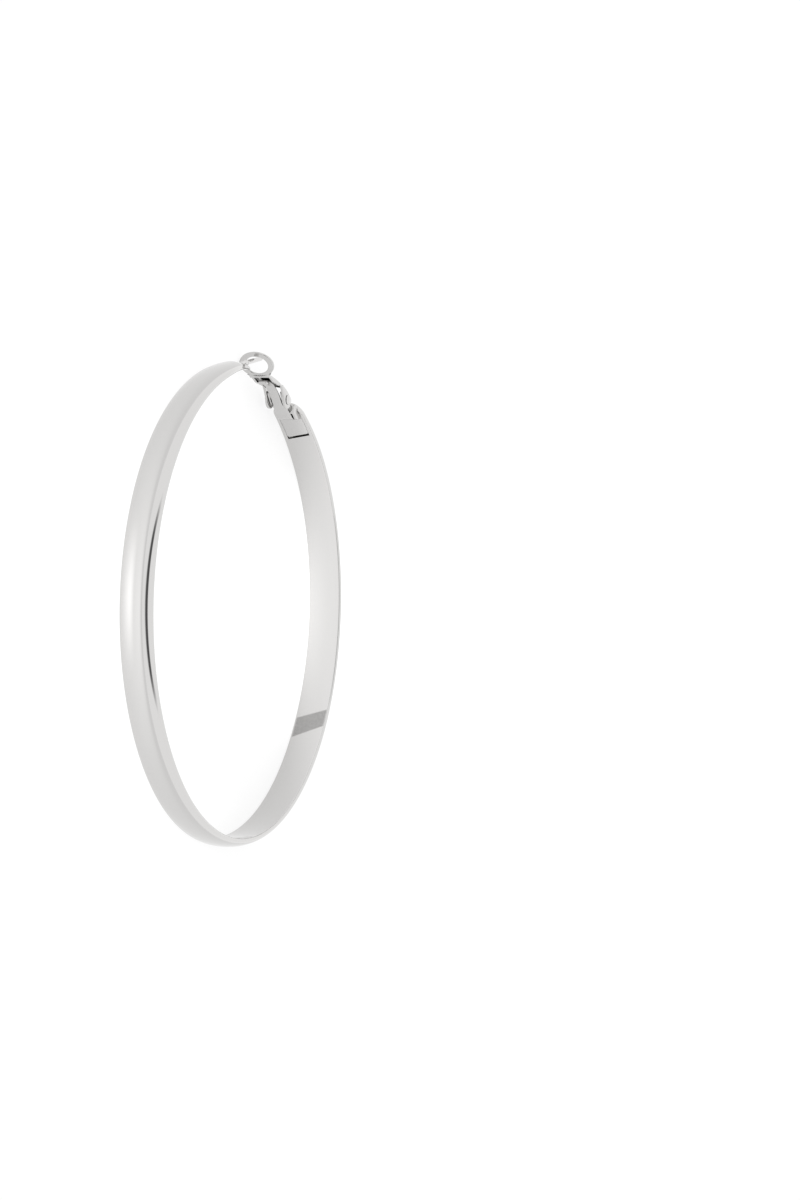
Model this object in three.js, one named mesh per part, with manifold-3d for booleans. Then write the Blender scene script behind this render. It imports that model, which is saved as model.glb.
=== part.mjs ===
// Hoop earring with a hinged loop clasp, in millimetres, +Z up.
// The hoop lies on its side: its axis is Z and its opening faces +Y.
// The band ends in a round ear post. The clasp is let into the band's other end: a plate with
// two ears and a spring tongue, a loop that turns on a rivet, and the rivet.

import * as THREE from 'three';
import { mergeVertices } from 'three/addons/utils/BufferGeometryUtils.js';
import Module from 'manifold-3d';

const wasm = await Module();
wasm.setup();

// Band
const HOOP_DIAMETER = 80;       // across the crest of the dome
const BAND_WIDTH = 5.85;        // along the hoop's axis
const BAND_THICKNESS = 1.5;     // from the flat inner face to the crest
const BAND_EDGE = 0.36;         // flat side beside the inner face, below the dome
const TAPER_LENGTH = 15;        // the stretch over which the front end narrows
const TIP_WIDTH = 1.4;          // width of the band's front tip
const THINNING_LENGTH = 7;      // the stretch over which the front end thins
const TIP_THICKNESS = 0.7;      // thickness of the front tip
const FLARE = 0.68;             // how far the front tip stands outside the circle
const FLARE_LENGTH = 28;        // the stretch over which it leaves the circle
const SHELL_WIDTH = 5.4;        // width of the band's clasp end
const SHELL_LENGTH = 14;        // the stretch over which it narrows to that
const SHELL_CORNER = 2.3;       // length of the rounded corners at the band's clasp end
const SHELL_FLAT = 0.4;         // share of the half width left straight between them

// Ear post
const POST_DIAMETER = 0.76;
const POST_BEYOND = 2.4;        // how far it reaches past the loop
const POST_ROOT = 4.6;          // length soldered into the band, from the tip
const POST_ABOVE_CENTRE = 0.86; // where it passes the loop, measured from the loop's centre
const EAR_GAP = 3.7;            // arc from the loop's centre to the front tip

// Place of the rivet, which the clasp is measured from
const RIVET_ARC_LENGTH = 16.95; // arc from the hoop's +Y point
const RIVET_INSET = 0.15;       // inside the inner face

// Clasp plate
const PLATE_THICKNESS = 0.45;
const PLATE_WIDTH = 4.1;
const PLATE_LENGTH = 10.68;     // from the rivet back to the joint line
const JOINT_SKEW = 0.95;        // how far the joint line runs askew across the plate
const PLATE_END = 2.6;          // its near end, from the rivet
const PLATE_CORNER = 0.55;
const JOINT_GAP = 0.38;         // open line between the plate and the band
const POCKET_CLEARANCE = 0.06;  // beside and behind the plate
const SHELL_SETBACK = 3.3;      // the band's clasp end, from the rivet

// Ears and rivet
const RIVET_DIAMETER = 0.8;
const RIVET_HEAD_DIAMETER = 1.65;
const RIVET_HEAD_HEIGHT = 0.28;
const EAR_RADIUS = 0.82;
const EAR_THICKNESS = 0.3;
const FIXED_CLEARANCE = 0.02;   // rivet in the ears
const RUNNING_CLEARANCE = 0.04; // rivet in the loop's cheeks
const SIDE_CLEARANCE = 0.07;    // between the cheeks, the ears and the rivet's heads
const EAR_CLEARANCE = 0.1;      // between the ears and the tongue
const EAR_NOSE = 1.9;           // how far the ear's nose reaches, in ear radii

// Spring tongue
const TONGUE_WIDTH = 1.8;
const TONGUE_ROOT_WIDTH = 3;
const TONGUE_THICKNESS = 0.28;
const TONGUE_ROOT = 6.4;        // where it leaves the plate, from the rivet
const TONGUE_BOW = 0.95;        // how far its root stands inside the plate
const TONGUE_TIP = 6.95;        // centre of the rolled tip, from the rivet
const TONGUE_ROLL_DIAMETER = 0.8;
const TONGUE_RIVET_GAP = 0.1;
const SADDLE_WIDTH = 3.6;       // the raised part of the plate that the tongue is cut from
const SADDLE_START = 3;         // its near end, from the rivet
const SADDLE_CREST = 4.5;       // where it starts to slope down to the plate, from the rivet

// Loop clip
const CLIP_SHEET = 0.4;
const CLIP_REACH = 8.66;        // from the rivet to the bend at the loop's root
const CLIP_CREST = 1.25;        // height of the arm's outer face over the rivet
const CLIP_CREST_AT = 1.6;      // where the arm is highest, from the rivet
const CLIP_ROOT_HEIGHT = 0.24;  // height of the outer face at the bend
const CLIP_WEB_END = 3.1;       // where the sheet between the cheeks stops, from the rivet
const LOBE_RADIUS = 1.5;
const LOBE_SHOULDER = 32;       // degrees, where the cheek's back meets its lobe
const LOBE_END = -140;          // degrees, where the lobe meets the leg
const SHOULDER_SHARE = 0.94;    // of the crest's height, at the bend of the cheek's back
const LOOP_WIDTH = 6.16;
const LOOP_LENGTH = 4.84;
const LOOP_TILT = 28.8;         // degrees out of the line of the arm
const HOLE_WIDTH = 4;
const HOLE_LENGTH = 3.4;
const HOLE_OFFSET = 0.1;        // from the loop's centre towards its root

// Fineness
const BAND_STEPS = 140;
const DOME_STEPS = 7;
const ROUND_STEPS = 40;
const SMALL_ROUND_STEPS = 24;

// Worked out
const deg = THREE.MathUtils.degToRad;
const RADIUS_CREST = HOOP_DIAMETER / 2;
const RADIUS_INNER = RADIUS_CREST - BAND_THICKNESS;
const RIVET_ANGLE = Math.PI / 2 - RIVET_ARC_LENGTH / RADIUS_INNER;
const RIVET_RADIUS_PLACE = RADIUS_INNER - RIVET_INSET;
const EAR_INNER = TONGUE_WIDTH / 2 + EAR_CLEARANCE;
const EAR_OUTER = EAR_INNER + EAR_THICKNESS;
const CHEEK_INNER = EAR_OUTER + SIDE_CLEARANCE;
const CHEEK_OUTER = CHEEK_INNER + CLIP_SHEET;
const LOOP_LEAN = deg(LOOP_TILT);
const SHELL_ANGLE = RIVET_ANGLE - SHELL_SETBACK / RADIUS_INNER;

// The clasp's own frame: origin on the rivet's axis, X back along the band, Y outwards.
const clasp = new THREE.Group();
clasp.position.copy(polar(RIVET_ANGLE, RIVET_RADIUS_PLACE));
clasp.rotation.z = RIVET_ANGLE - Math.PI / 2;
clasp.updateMatrixWorld(true);

const LOOP_CENTRE = toHoop(onLoop(0));
const TIP_ANGLE = Math.atan2(LOOP_CENTRE.y, LOOP_CENTRE.x) + EAR_GAP / RADIUS_INNER;

function polar(angle, radius) {
  return new THREE.Vector3(radius * Math.cos(angle), radius * Math.sin(angle), 0);
}

// A point in the middle of the loop's sheet in the clasp's frame, by its distance from the
// loop's centre.
function onLoop(along) {
  const reach = LOOP_LENGTH / 2 + along;
  return new THREE.Vector3(
    -CLIP_REACH - reach * Math.cos(LOOP_LEAN),
    CLIP_ROOT_HEIGHT - CLIP_SHEET + reach * Math.sin(LOOP_LEAN), 0);
}

function toHoop(point) {
  return point.clone().applyMatrix4(clasp.matrixWorld);
}

// The inner face's distance from the hoop's centre: a circle that opens at the front tip.
function innerRadius(fromTip) {
  const share = Math.max(0, 1 - fromTip / FLARE_LENGTH);
  return RADIUS_INNER + FLARE * share * share;
}

// The share of its full width that the band has, by the distances from its front tip and
// from its clasp end.
function widthShare(fromTip, fromShell) {
  const atTip = THREE.MathUtils.clamp(fromTip / TAPER_LENGTH, 0, 1);
  const atShell = THREE.MathUtils.clamp(fromShell / SHELL_LENGTH, 0, 1);
  return THREE.MathUtils.lerp(TIP_WIDTH / BAND_WIDTH, 1, Math.sin(atTip * Math.PI / 2))
    * THREE.MathUtils.lerp(SHELL_WIDTH / BAND_WIDTH, 1, Math.sin(atShell * Math.PI / 2));
}

// The share of its full thickness that the band has at a distance from its front tip.
function thicknessShare(fromTip) {
  const share = THREE.MathUtils.clamp(fromTip / THINNING_LENGTH, 0, 1);
  return THREE.MathUtils.lerp(TIP_THICKNESS / BAND_THICKNESS, 1, share);
}

// The height of the inner face over the rivet's axis, in the clasp's frame.
function innerFaceHeight(x) {
  return Math.sqrt(RADIUS_INNER ** 2 - x ** 2) - RIVET_RADIUS_PLACE;
}

function solidOf(geometry) {
  const bare = geometry.clone();
  bare.deleteAttribute('normal');
  bare.deleteAttribute('uv');
  const merged = mergeVertices(bare, 1e-4);
  return new wasm.Manifold(new wasm.Mesh({
    numProp: 3,
    vertProperties: new Float32Array(merged.attributes.position.array),
    triVerts: new Uint32Array(merged.index.array),
  }));
}

function geometryOf(solid) {
  const mesh = solid.getMesh();
  const geometry = new THREE.BufferGeometry();
  geometry.setAttribute('position', new THREE.BufferAttribute(mesh.vertProperties, 3));
  geometry.setIndex(new THREE.BufferAttribute(mesh.triVerts, 1));
  geometry.computeVertexNormals();
  return geometry;
}

// A flat shape given thickness along Z, between two heights.
function prism(shape, low, high, steps = ROUND_STEPS) {
  const geometry = new THREE.ExtrudeGeometry(
    shape, { depth: high - low, bevelEnabled: false, curveSegments: steps });
  return geometry.translate(0, 0, low);
}

// A round bar along Z.
function bar(radius, low, high, steps = SMALL_ROUND_STEPS) {
  const geometry = new THREE.CylinderGeometry(radius, radius, high - low, steps);
  return geometry.rotateX(Math.PI / 2).translate(0, 0, (low + high) / 2);
}

function pathOf(points) {
  return new THREE.Shape(points.map(([x, y]) => new THREE.Vector2(x, y)));
}

// A cutter for the band's end: the outline's X runs into the band from its end, its Y is Z,
// and it is carried outwards through the band at the end's angle.
function endCutter(outline, angle, intoBand) {
  const along = polar(angle + intoBand * Math.PI / 2, 1);
  const out = polar(angle, 1);
  const across = new THREE.Vector3().crossVectors(out, along);
  const geometry = prism(outline, RADIUS_INNER - BAND_WIDTH, RADIUS_CREST + BAND_WIDTH);
  return solidOf(geometry.applyMatrix4(new THREE.Matrix4().makeBasis(along, across, out)));
}

// Everything round the front tip's rounded end.
function tipOutline() {
  const tip = TIP_WIDTH / 2;
  const outline = new THREE.Shape();
  outline.moveTo(tip, tip);
  outline.absarc(tip, 0, tip, Math.PI / 2, Math.PI * 1.5, false);
  outline.lineTo(tip, -BAND_WIDTH);
  outline.lineTo(-BAND_WIDTH, -BAND_WIDTH);
  outline.lineTo(-BAND_WIDTH, BAND_WIDTH);
  outline.lineTo(tip, BAND_WIDTH);
  return outline;
}

// Everything round the clasp end's rounded corners.
function shellOutline() {
  const half = BAND_WIDTH / 2;
  const flat = half * SHELL_FLAT;
  const outline = new THREE.Shape();
  outline.moveTo(SHELL_CORNER, half);
  outline.quadraticCurveTo(0, half, 0, flat);
  outline.lineTo(0, -flat);
  outline.quadraticCurveTo(0, -half, SHELL_CORNER, -half);
  outline.lineTo(SHELL_CORNER, -BAND_WIDTH);
  outline.lineTo(-BAND_WIDTH, -BAND_WIDTH);
  outline.lineTo(-BAND_WIDTH, BAND_WIDTH);
  outline.lineTo(SHELL_CORNER, BAND_WIDTH);
  return outline;
}

function bandSection() {
  const half = BAND_WIDTH / 2;
  const section = new THREE.Shape();
  section.moveTo(-half, 0);
  section.lineTo(half, 0);
  section.lineTo(half, BAND_EDGE);
  section.absellipse(0, BAND_EDGE, half, BAND_THICKNESS - BAND_EDGE, 0, Math.PI, false);
  return section;
}

// The band's section carried round the hoop from the clasp end to the front tip.
function bandSweep() {
  const sweep = new THREE.ExtrudeGeometry(bandSection(), {
    depth: 1, steps: BAND_STEPS, bevelEnabled: false, curveSegments: DOME_STEPS,
  });
  const places = sweep.attributes.position;
  const place = new THREE.Vector3();
  for (let i = 0; i < places.count; i += 1) {
    place.fromBufferAttribute(places, i);
    const angle = THREE.MathUtils.lerp(SHELL_ANGLE, TIP_ANGLE - 2 * Math.PI, place.z);
    const fromTip = (angle + 2 * Math.PI - TIP_ANGLE) * RADIUS_INNER;
    const across = place.x * widthShare(fromTip, (SHELL_ANGLE - angle) * RADIUS_INNER);
    const height = place.y * thicknessShare(fromTip);
    place.copy(polar(angle, innerRadius(fromTip) + height));
    places.setXYZ(i, place.x, place.y, -across);
  }
  return solidOf(sweep);
}

// The straight post: out of the band's tip and through the upper half of the loop's hole.
function postSolid() {
  const rootThickness = BAND_THICKNESS * thicknessShare(POST_ROOT);
  const root = polar(
    TIP_ANGLE + POST_ROOT / RADIUS_INNER, innerRadius(POST_ROOT) + rootThickness / 2);
  const crossing = toHoop(onLoop(POST_ABOVE_CENTRE));
  const line = crossing.clone().sub(root);
  const length = line.length() + POST_BEYOND;
  const radius = POST_DIAMETER / 2;
  const profile = new THREE.Path();
  profile.moveTo(0, 0);
  profile.lineTo(radius, 0);
  profile.lineTo(radius, length - radius);
  profile.absarc(0, length - radius, radius, 0, Math.PI / 2, false);
  const post = new THREE.LatheGeometry(profile.getPoints(6), SMALL_ROUND_STEPS);
  const turn = new THREE.Quaternion().setFromUnitVectors(
    new THREE.Vector3(0, 1, 0), line.normalize());
  return solidOf(post.applyQuaternion(turn).translate(root.x, root.y, root.z));
}

// The part of a flat ring between two distances from the hoop's centre, along the plate.
function plateSector(inside, outside) {
  const reach = (PLATE_LENGTH + BAND_WIDTH) / RADIUS_INNER;
  const shape = new THREE.Shape();
  shape.absarc(0, 0, outside, RIVET_ANGLE - reach, RIVET_ANGLE, false);
  shape.absarc(0, 0, inside, RIVET_ANGLE, RIVET_ANGLE - reach, true);
  return solidOf(prism(shape, -BAND_WIDTH, BAND_WIDTH));
}

// A shape drawn in the clasp's X and Z and carried along Y through the whole clasp.
function fromAbove(outline) {
  return solidOf(prism(outline, -BAND_WIDTH, BAND_WIDTH).rotateX(Math.PI / 2));
}

// The plan of the plate or, with allowances, of its pocket: the far end is cut askew.
function platePlan(near, beside, behind, corner) {
  const half = PLATE_WIDTH / 2 + beside;
  const far = (z) => PLATE_LENGTH + behind - JOINT_SKEW * z / PLATE_WIDTH;
  return fromAbove(pathOf([
    [near, half], [near, -half], [far(-half) - corner, -half],
    [far(corner - half), corner - half], [far(half - corner), half - corner],
    [far(half) - corner, half],
  ]));
}

// The recess in the inner face that the clasp plate lies in.
function pocketSolid() {
  const floor = RADIUS_INNER + PLATE_THICKNESS + POCKET_CLEARANCE;
  const plan = platePlan(0, POCKET_CLEARANCE, JOINT_GAP, 0).transform(clasp.matrixWorld.elements);
  return plateSector(RADIUS_INNER - BAND_THICKNESS, floor).intersect(plan);
}

function hoopBand() {
  return bandSweep()
    .subtract(endCutter(tipOutline(), TIP_ANGLE, 1))
    .subtract(endCutter(shellOutline(), SHELL_ANGLE, -1))
    .subtract(pocketSolid())
    .add(postSolid());
}

// The plate in the band's pocket, in the clasp's frame.
function plateSolid() {
  return plateSector(RADIUS_INNER, RADIUS_INNER + PLATE_THICKNESS)
    .transform(clasp.matrixWorld.clone().invert().elements)
    .intersect(platePlan(PLATE_END, 0, 0, PLATE_CORNER));
}

// The outline round two circles and the straight lines that touch both.
function belt(x1, y1, r1, x2, y2, r2) {
  const heading = Math.atan2(y2 - y1, x2 - x1);
  const spread = Math.acos((r1 - r2) / Math.hypot(x2 - x1, y2 - y1));
  const shape = new THREE.Shape();
  shape.absarc(x1, y1, r1, heading + spread, heading - spread + 2 * Math.PI, false);
  shape.absarc(x2, y2, r2, heading - spread, heading + spread, false);
  return shape;
}

// One ear: round the rivet, with a nose towards the loop and a neck back to the plate.
function earSolid(side) {
  const low = side > 0 ? EAR_INNER : -EAR_OUTER;
  const high = low + EAR_THICKNESS;
  const nose = belt(
    0, 0, EAR_RADIUS, -EAR_RADIUS * EAR_NOSE, EAR_RADIUS * 0.45, EAR_RADIUS * 0.55);
  const plateY = innerFaceHeight(PLATE_END);
  const neck = pathOf([
    [0, plateY + PLATE_THICKNESS * 0.1], [PLATE_END + EAR_RADIUS, plateY + PLATE_THICKNESS * 0.1],
    [PLATE_END + EAR_RADIUS, plateY + PLATE_THICKNESS * 0.8],
    [0, plateY + PLATE_THICKNESS * 0.8],
  ]);
  const hole = RIVET_DIAMETER / 2 + FIXED_CLEARANCE;
  return solidOf(prism(nose, low, high, SMALL_ROUND_STEPS / 2))
    .add(solidOf(prism(neck, low, high)))
    .subtract(solidOf(bar(hole, low - EAR_THICKNESS, high + EAR_THICKNESS)));
}

// The tongue's middle line, from inside the plate, under the rivet and up to the rolled tip.
function tongueLine() {
  const underRivet = -(RIVET_DIAMETER / 2 + TONGUE_RIVET_GAP + TONGUE_THICKNESS / 2);
  const crest = CLIP_CREST - CLIP_SHEET - TONGUE_THICKNESS;
  return new THREE.SplineCurve([
    [TONGUE_ROOT * 1.16, innerFaceHeight(TONGUE_ROOT * 1.16) + TONGUE_THICKNESS * 0.9],
    [TONGUE_ROOT * 0.98, innerFaceHeight(TONGUE_ROOT) + TONGUE_THICKNESS * 0.4],
    [TONGUE_ROOT * 0.73, innerFaceHeight(TONGUE_ROOT) - TONGUE_BOW * 0.8],
    [TONGUE_ROOT * 0.5, -TONGUE_BOW],
    [TONGUE_ROOT * 0.2, underRivet - TONGUE_THICKNESS * 0.7],
    [0, underRivet],
    [-TONGUE_TIP * 0.27, crest * 0.08],
    [-TONGUE_TIP * 0.58, crest * 0.68],
    [-TONGUE_TIP * 0.76, crest * 0.56],
    [-TONGUE_TIP * 0.9, crest * 0.2],
    [-TONGUE_TIP, -TONGUE_ROLL_DIAMETER * 0.3],
  ].map(([x, y]) => new THREE.Vector2(x, y)));
}

// A strip of even thickness along a curve.
function strip(curve, thickness, steps) {
  const edges = [[], []];
  for (let i = 0; i <= steps; i += 1) {
    const at = curve.getPointAt(i / steps);
    const along = curve.getTangentAt(i / steps);
    edges[0].push([at.x - along.y * thickness / 2, at.y + along.x * thickness / 2]);
    edges[1].unshift([at.x + along.y * thickness / 2, at.y - along.x * thickness / 2]);
  }
  return pathOf([...edges[0], ...edges[1]]);
}

function tongueSolid() {
  const wide = TONGUE_ROOT_WIDTH / 2;
  const narrow = TONGUE_WIDTH / 2;
  const back = TONGUE_ROOT * 1.5;
  const front = -TONGUE_TIP - TONGUE_ROLL_DIAMETER;
  const shoulder = LOBE_RADIUS / 2;
  const outline = pathOf([
    [back, wide], [shoulder * 2.4, wide], [shoulder, narrow], [front, narrow],
    [front, -narrow], [shoulder, -narrow], [shoulder * 2.4, -wide], [back, -wide],
  ]);
  const ribbon = prism(strip(tongueLine(), TONGUE_THICKNESS, ROUND_STEPS), -wide, wide);
  const roll = bar(TONGUE_ROLL_DIAMETER / 2, -narrow, narrow);
  roll.translate(-TONGUE_TIP, -TONGUE_ROLL_DIAMETER / 2, 0);
  return solidOf(ribbon).intersect(fromAbove(outline)).add(solidOf(roll));
}

// The raised part of the plate under the tongue's root, closed down to the plate.
function saddleSolid() {
  const shape = pathOf([
    [SADDLE_START, innerFaceHeight(SADDLE_START) + PLATE_THICKNESS / 2],
    [SADDLE_START, -TONGUE_BOW],
    [SADDLE_CREST, innerFaceHeight(TONGUE_ROOT) - TONGUE_BOW * 0.8],
    [TONGUE_ROOT, innerFaceHeight(TONGUE_ROOT)],
    [TONGUE_ROOT, innerFaceHeight(TONGUE_ROOT) + PLATE_THICKNESS / 2],
  ]);
  return solidOf(prism(shape, -SADDLE_WIDTH / 2, SADDLE_WIDTH / 2));
}

function claspPlate() {
  return plateSolid().add(saddleSolid()).add(earSolid(1)).add(earSolid(-1)).add(tongueSolid());
}

// The height of the loop arm's outer face: an arch with its crest near the rivet.
function armHeight(x) {
  const share = (x + CLIP_CREST_AT) / (CLIP_REACH - CLIP_CREST_AT);
  return CLIP_CREST - (CLIP_CREST - CLIP_ROOT_HEIGHT) * share * share;
}

function armEdge(from, to, drop) {
  const points = [];
  for (let i = 0; i <= DOME_STEPS; i += 1) {
    const x = THREE.MathUtils.lerp(from, to, i / DOME_STEPS);
    points.push([x, armHeight(x) - drop]);
  }
  return points;
}

// The sheet between the two cheeks.
function webSolid() {
  const shape = pathOf([
    ...armEdge(-CLIP_REACH, -CLIP_WEB_END, 0), ...armEdge(-CLIP_WEB_END, -CLIP_REACH, CLIP_SHEET),
  ]);
  return solidOf(prism(shape, -CHEEK_OUTER, CHEEK_OUTER));
}

// One cheek: a round lobe on the rivet, a leg up to the arm, and a low flange to the loop's root.
// The lower edge's columns: share of the reach, share of the crest's height.
const CHEEK_LOWER_EDGE = [
  [0.195, -0.22],
  [0.3, 0.29],
  [0.39, 0.62],
  [0.5, 0.4],
  [0.667, 0.02],
  [0.757, -0.12],
  [1, -0.12],
];

function cheekSolid(side) {
  const low = side > 0 ? CHEEK_INNER : -CHEEK_OUTER;
  const shape = new THREE.Shape();
  const [first, ...rest] = armEdge(-CLIP_REACH, -CLIP_CREST_AT, 0);
  shape.moveTo(...first);
  rest.forEach((point) => shape.lineTo(...point));
  const shoulder = deg(LOBE_SHOULDER);
  shape.quadraticCurveTo(
    0, CLIP_CREST * SHOULDER_SHARE, LOBE_RADIUS * Math.cos(shoulder), LOBE_RADIUS * Math.sin(shoulder));
  shape.absarc(0, 0, LOBE_RADIUS, shoulder, deg(LOBE_END), true);
  CHEEK_LOWER_EDGE.forEach(([along, height]) => {
    shape.lineTo(-along * CLIP_REACH, height * CLIP_CREST);
  });
  const hole = RIVET_DIAMETER / 2 + RUNNING_CLEARANCE;
  return solidOf(prism(shape, low, low + CLIP_SHEET, SMALL_ROUND_STEPS))
    .subtract(solidOf(bar(hole, low - CLIP_SHEET, low + 2 * CLIP_SHEET)));
}

// The loop and its neck, drawn on the loop's face: X from its centre to its far end, Y is Z.
function loopSolid() {
  const ring = new THREE.Shape();
  ring.absellipse(0, 0, LOOP_LENGTH / 2, LOOP_WIDTH / 2, 0, 2 * Math.PI, false);
  const hole = new THREE.Path();
  hole.absellipse(-HOLE_OFFSET, 0, HOLE_LENGTH / 2, HOLE_WIDTH / 2, 0, 2 * Math.PI, true);
  ring.holes.push(hole);
  const neckTop = -HOLE_OFFSET - HOLE_LENGTH / 2;
  const neckBottom = -LOOP_LENGTH / 2 - CLIP_SHEET / 4;
  const neck = pathOf([
    [neckBottom, -CHEEK_OUTER], [neckTop, -CHEEK_OUTER], [neckTop, CHEEK_OUTER],
    [neckBottom, CHEEK_OUTER],
  ]);
  const centre = onLoop(0);
  const face = new THREE.Matrix4().makeBasis(
    new THREE.Vector3(-Math.cos(LOOP_LEAN), Math.sin(LOOP_LEAN), 0),
    new THREE.Vector3(0, 0, 1),
    new THREE.Vector3(Math.sin(LOOP_LEAN), Math.cos(LOOP_LEAN), 0));
  face.setPosition(centre);
  return solidOf(prism(ring, -CLIP_SHEET / 2, CLIP_SHEET / 2).applyMatrix4(face))
    .add(solidOf(prism(neck, -CLIP_SHEET / 2, CLIP_SHEET / 2).applyMatrix4(face)));
}

function loopClip() {
  return loopSolid().add(webSolid()).add(cheekSolid(1)).add(cheekSolid(-1));
}

// A round pin with a low domed head at each end.
function hingeRivet() {
  const shank = RIVET_DIAMETER / 2;
  const head = RIVET_HEAD_DIAMETER / 2;
  const seat = CHEEK_OUTER + SIDE_CLEARANCE;
  const end = seat + RIVET_HEAD_HEIGHT;
  const profile = new THREE.Path();
  profile.moveTo(0, -end);
  profile.quadraticCurveTo(head * 0.8, -end, head, -seat);
  profile.lineTo(shank, -seat);
  profile.lineTo(shank, seat);
  profile.lineTo(head, seat);
  profile.quadraticCurveTo(head * 0.8, end, 0, end);
  const rivet = new THREE.LatheGeometry(profile.getPoints(5), SMALL_ROUND_STEPS);
  return solidOf(rivet.rotateX(Math.PI / 2));
}

function polishedSteel(color, roughness) {
  return new THREE.MeshStandardMaterial({ color, metalness: 1, roughness });
}

function piece(name, solid, material) {
  const mesh = new THREE.Mesh(geometryOf(solid), material);
  mesh.name = name;
  return mesh;
}

const earring = new THREE.Group();
earring.add(piece('hoop_band', hoopBand(), polishedSteel(0xd9d7d4, 0.08)));
clasp.add(piece('clasp_plate', claspPlate(), polishedSteel(0xcdcbc8, 0.22)));
clasp.add(piece('loop_clip', loopClip(), polishedSteel(0xd2d0cd, 0.14)));
clasp.add(piece('hinge_rivet', hingeRivet(), polishedSteel(0xc6c4c1, 0.16)));
earring.add(clasp);

// The origin is the middle of the box's underside.
const box = new THREE.Box3().setFromObject(earring);
const middle = box.getCenter(new THREE.Vector3());
earring.position.set(-middle.x, -middle.y, -box.min.z);

export default earring;
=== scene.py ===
"""Hoop earring with a hinged loop clasp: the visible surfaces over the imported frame.

Lengths are in millimetres until a mesh is written, when they become metres. The clasp's
pieces are worked out in the clasp's own frame, with its origin on the rivet's axis, X back
along the band, Y away from the hoop's centre and Z along the hoop's axis.
"""

import logging
import math
from dataclasses import dataclass, field
from enum import Enum
from typing import Optional, Sequence

import bpy
import numpy as np
from mathutils import Matrix, Vector


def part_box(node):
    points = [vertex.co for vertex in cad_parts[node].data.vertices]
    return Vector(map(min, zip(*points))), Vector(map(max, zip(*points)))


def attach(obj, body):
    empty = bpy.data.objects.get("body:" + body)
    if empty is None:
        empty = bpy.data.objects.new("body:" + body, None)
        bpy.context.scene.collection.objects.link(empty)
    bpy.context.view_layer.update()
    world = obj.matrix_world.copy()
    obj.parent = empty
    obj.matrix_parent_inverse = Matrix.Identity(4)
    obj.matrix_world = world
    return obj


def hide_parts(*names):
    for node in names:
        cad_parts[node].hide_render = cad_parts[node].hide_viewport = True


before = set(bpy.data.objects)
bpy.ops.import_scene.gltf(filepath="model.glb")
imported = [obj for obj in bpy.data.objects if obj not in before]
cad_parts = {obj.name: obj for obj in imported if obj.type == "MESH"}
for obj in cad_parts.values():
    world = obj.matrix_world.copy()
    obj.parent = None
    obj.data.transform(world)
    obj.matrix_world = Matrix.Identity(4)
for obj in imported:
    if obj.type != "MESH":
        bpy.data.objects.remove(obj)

logging.basicConfig(level=logging.INFO, format="%(message)s")
LOG = logging.getLogger("hoop_earring")
MM = 0.001
# How far two lengths in millimetres may differ and still count as the same place
SAME = 1e-6
WHITE = "#FFFFFF"
# The point attribute that says where the band's darker patch is painted, a painted dark reflection
# on its inner face
REFLECTION_PATCH = "reflection_patch"
# How much finer the polishing wheel's lines are across than along, and how deep
WHEEL_STRETCH = 14.0
WHEEL_DEPTH_MM = 0.02


class Body(Enum):
    """The moving bodies that pieces ride on."""

    HOOP = "hoop"
    LOOP = "loop"


class Slot(Enum):
    """The record's material slots."""

    BAND = "band_steel"
    CLASP = "clasp_steel"


# Small tools for meshes


def unit(vectors: np.ndarray) -> np.ndarray:
    """Vectors divided by their lengths.

    Args:
        vectors: Array whose last axis holds the vector.

    Returns:
        The same directions with length one.
    """
    return vectors / np.linalg.norm(vectors, axis=-1, keepdims=True)


def smooth_ramp(value: np.ndarray, start: float, end: float) -> np.ndarray:
    """A soft step: 3t^2 - 2t^3, with t running from 0 at start to 1 at end.

    Args:
        value: Where the step is read.
        start: Where it leaves 0.
        end: Where it reaches 1.

    Returns:
        Shares between 0 and 1.
    """
    share = np.clip((value - start) / (end - start), 0.0, 1.0)
    return share * share * (3.0 - 2.0 * share)


def rounded_rectangle(
    half_width: np.ndarray, half_height: np.ndarray, radius: float, corner_steps: int = 5,
    largest_share: float = 0.98
) -> np.ndarray:
    """Sections that are rectangles with quarter-circle corners.

    Each corner's points are its centre, half_size - radius from the middle, plus
    radius * (cos a, sin a) with a running over that corner's quarter turn.

    Args:
        half_width: Half of each section's width, one value for each ring.
        half_height: Half of each section's height, one value for each ring.
        radius: Corner radius.
        corner_steps: Points on each corner.
        largest_share: The most that the radius may take of the smaller half size.

    Returns:
        Array of rings by points by (across, up).
    """
    turns = (np.arange(4)[:, None] + np.linspace(0.0, 1.0, corner_steps)[None, :]) * math.pi / 2
    signs_across = np.repeat([1.0, -1.0, -1.0, 1.0], corner_steps)
    signs_up = np.repeat([1.0, 1.0, -1.0, -1.0], corner_steps)
    angles = turns.reshape(-1)
    radii = np.minimum(radius, largest_share * np.minimum(half_width, half_height))[:, None]
    across = signs_across * (half_width[:, None] - radii) + radii * np.cos(angles)
    upward = signs_up * (half_height[:, None] - radii) + radii * np.sin(angles)
    return np.stack([across, upward], axis=-1)


def sweep(path: np.ndarray, side: np.ndarray, upward: np.ndarray, section: np.ndarray) -> np.ndarray:
    """A section carried along a path: path + across * side + up * upward at every point.

    Args:
        path: Ring centres, rings by 3.
        side: Direction of the section's first coordinate at each ring.
        upward: Direction of its second coordinate at each ring.
        section: Rings by points by (across, up).

    Returns:
        Rings by points by 3.
    """
    return (path[:, None, :] + section[..., 0:1] * side[:, None, :]
            + section[..., 1:2] * upward[:, None, :])


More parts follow.
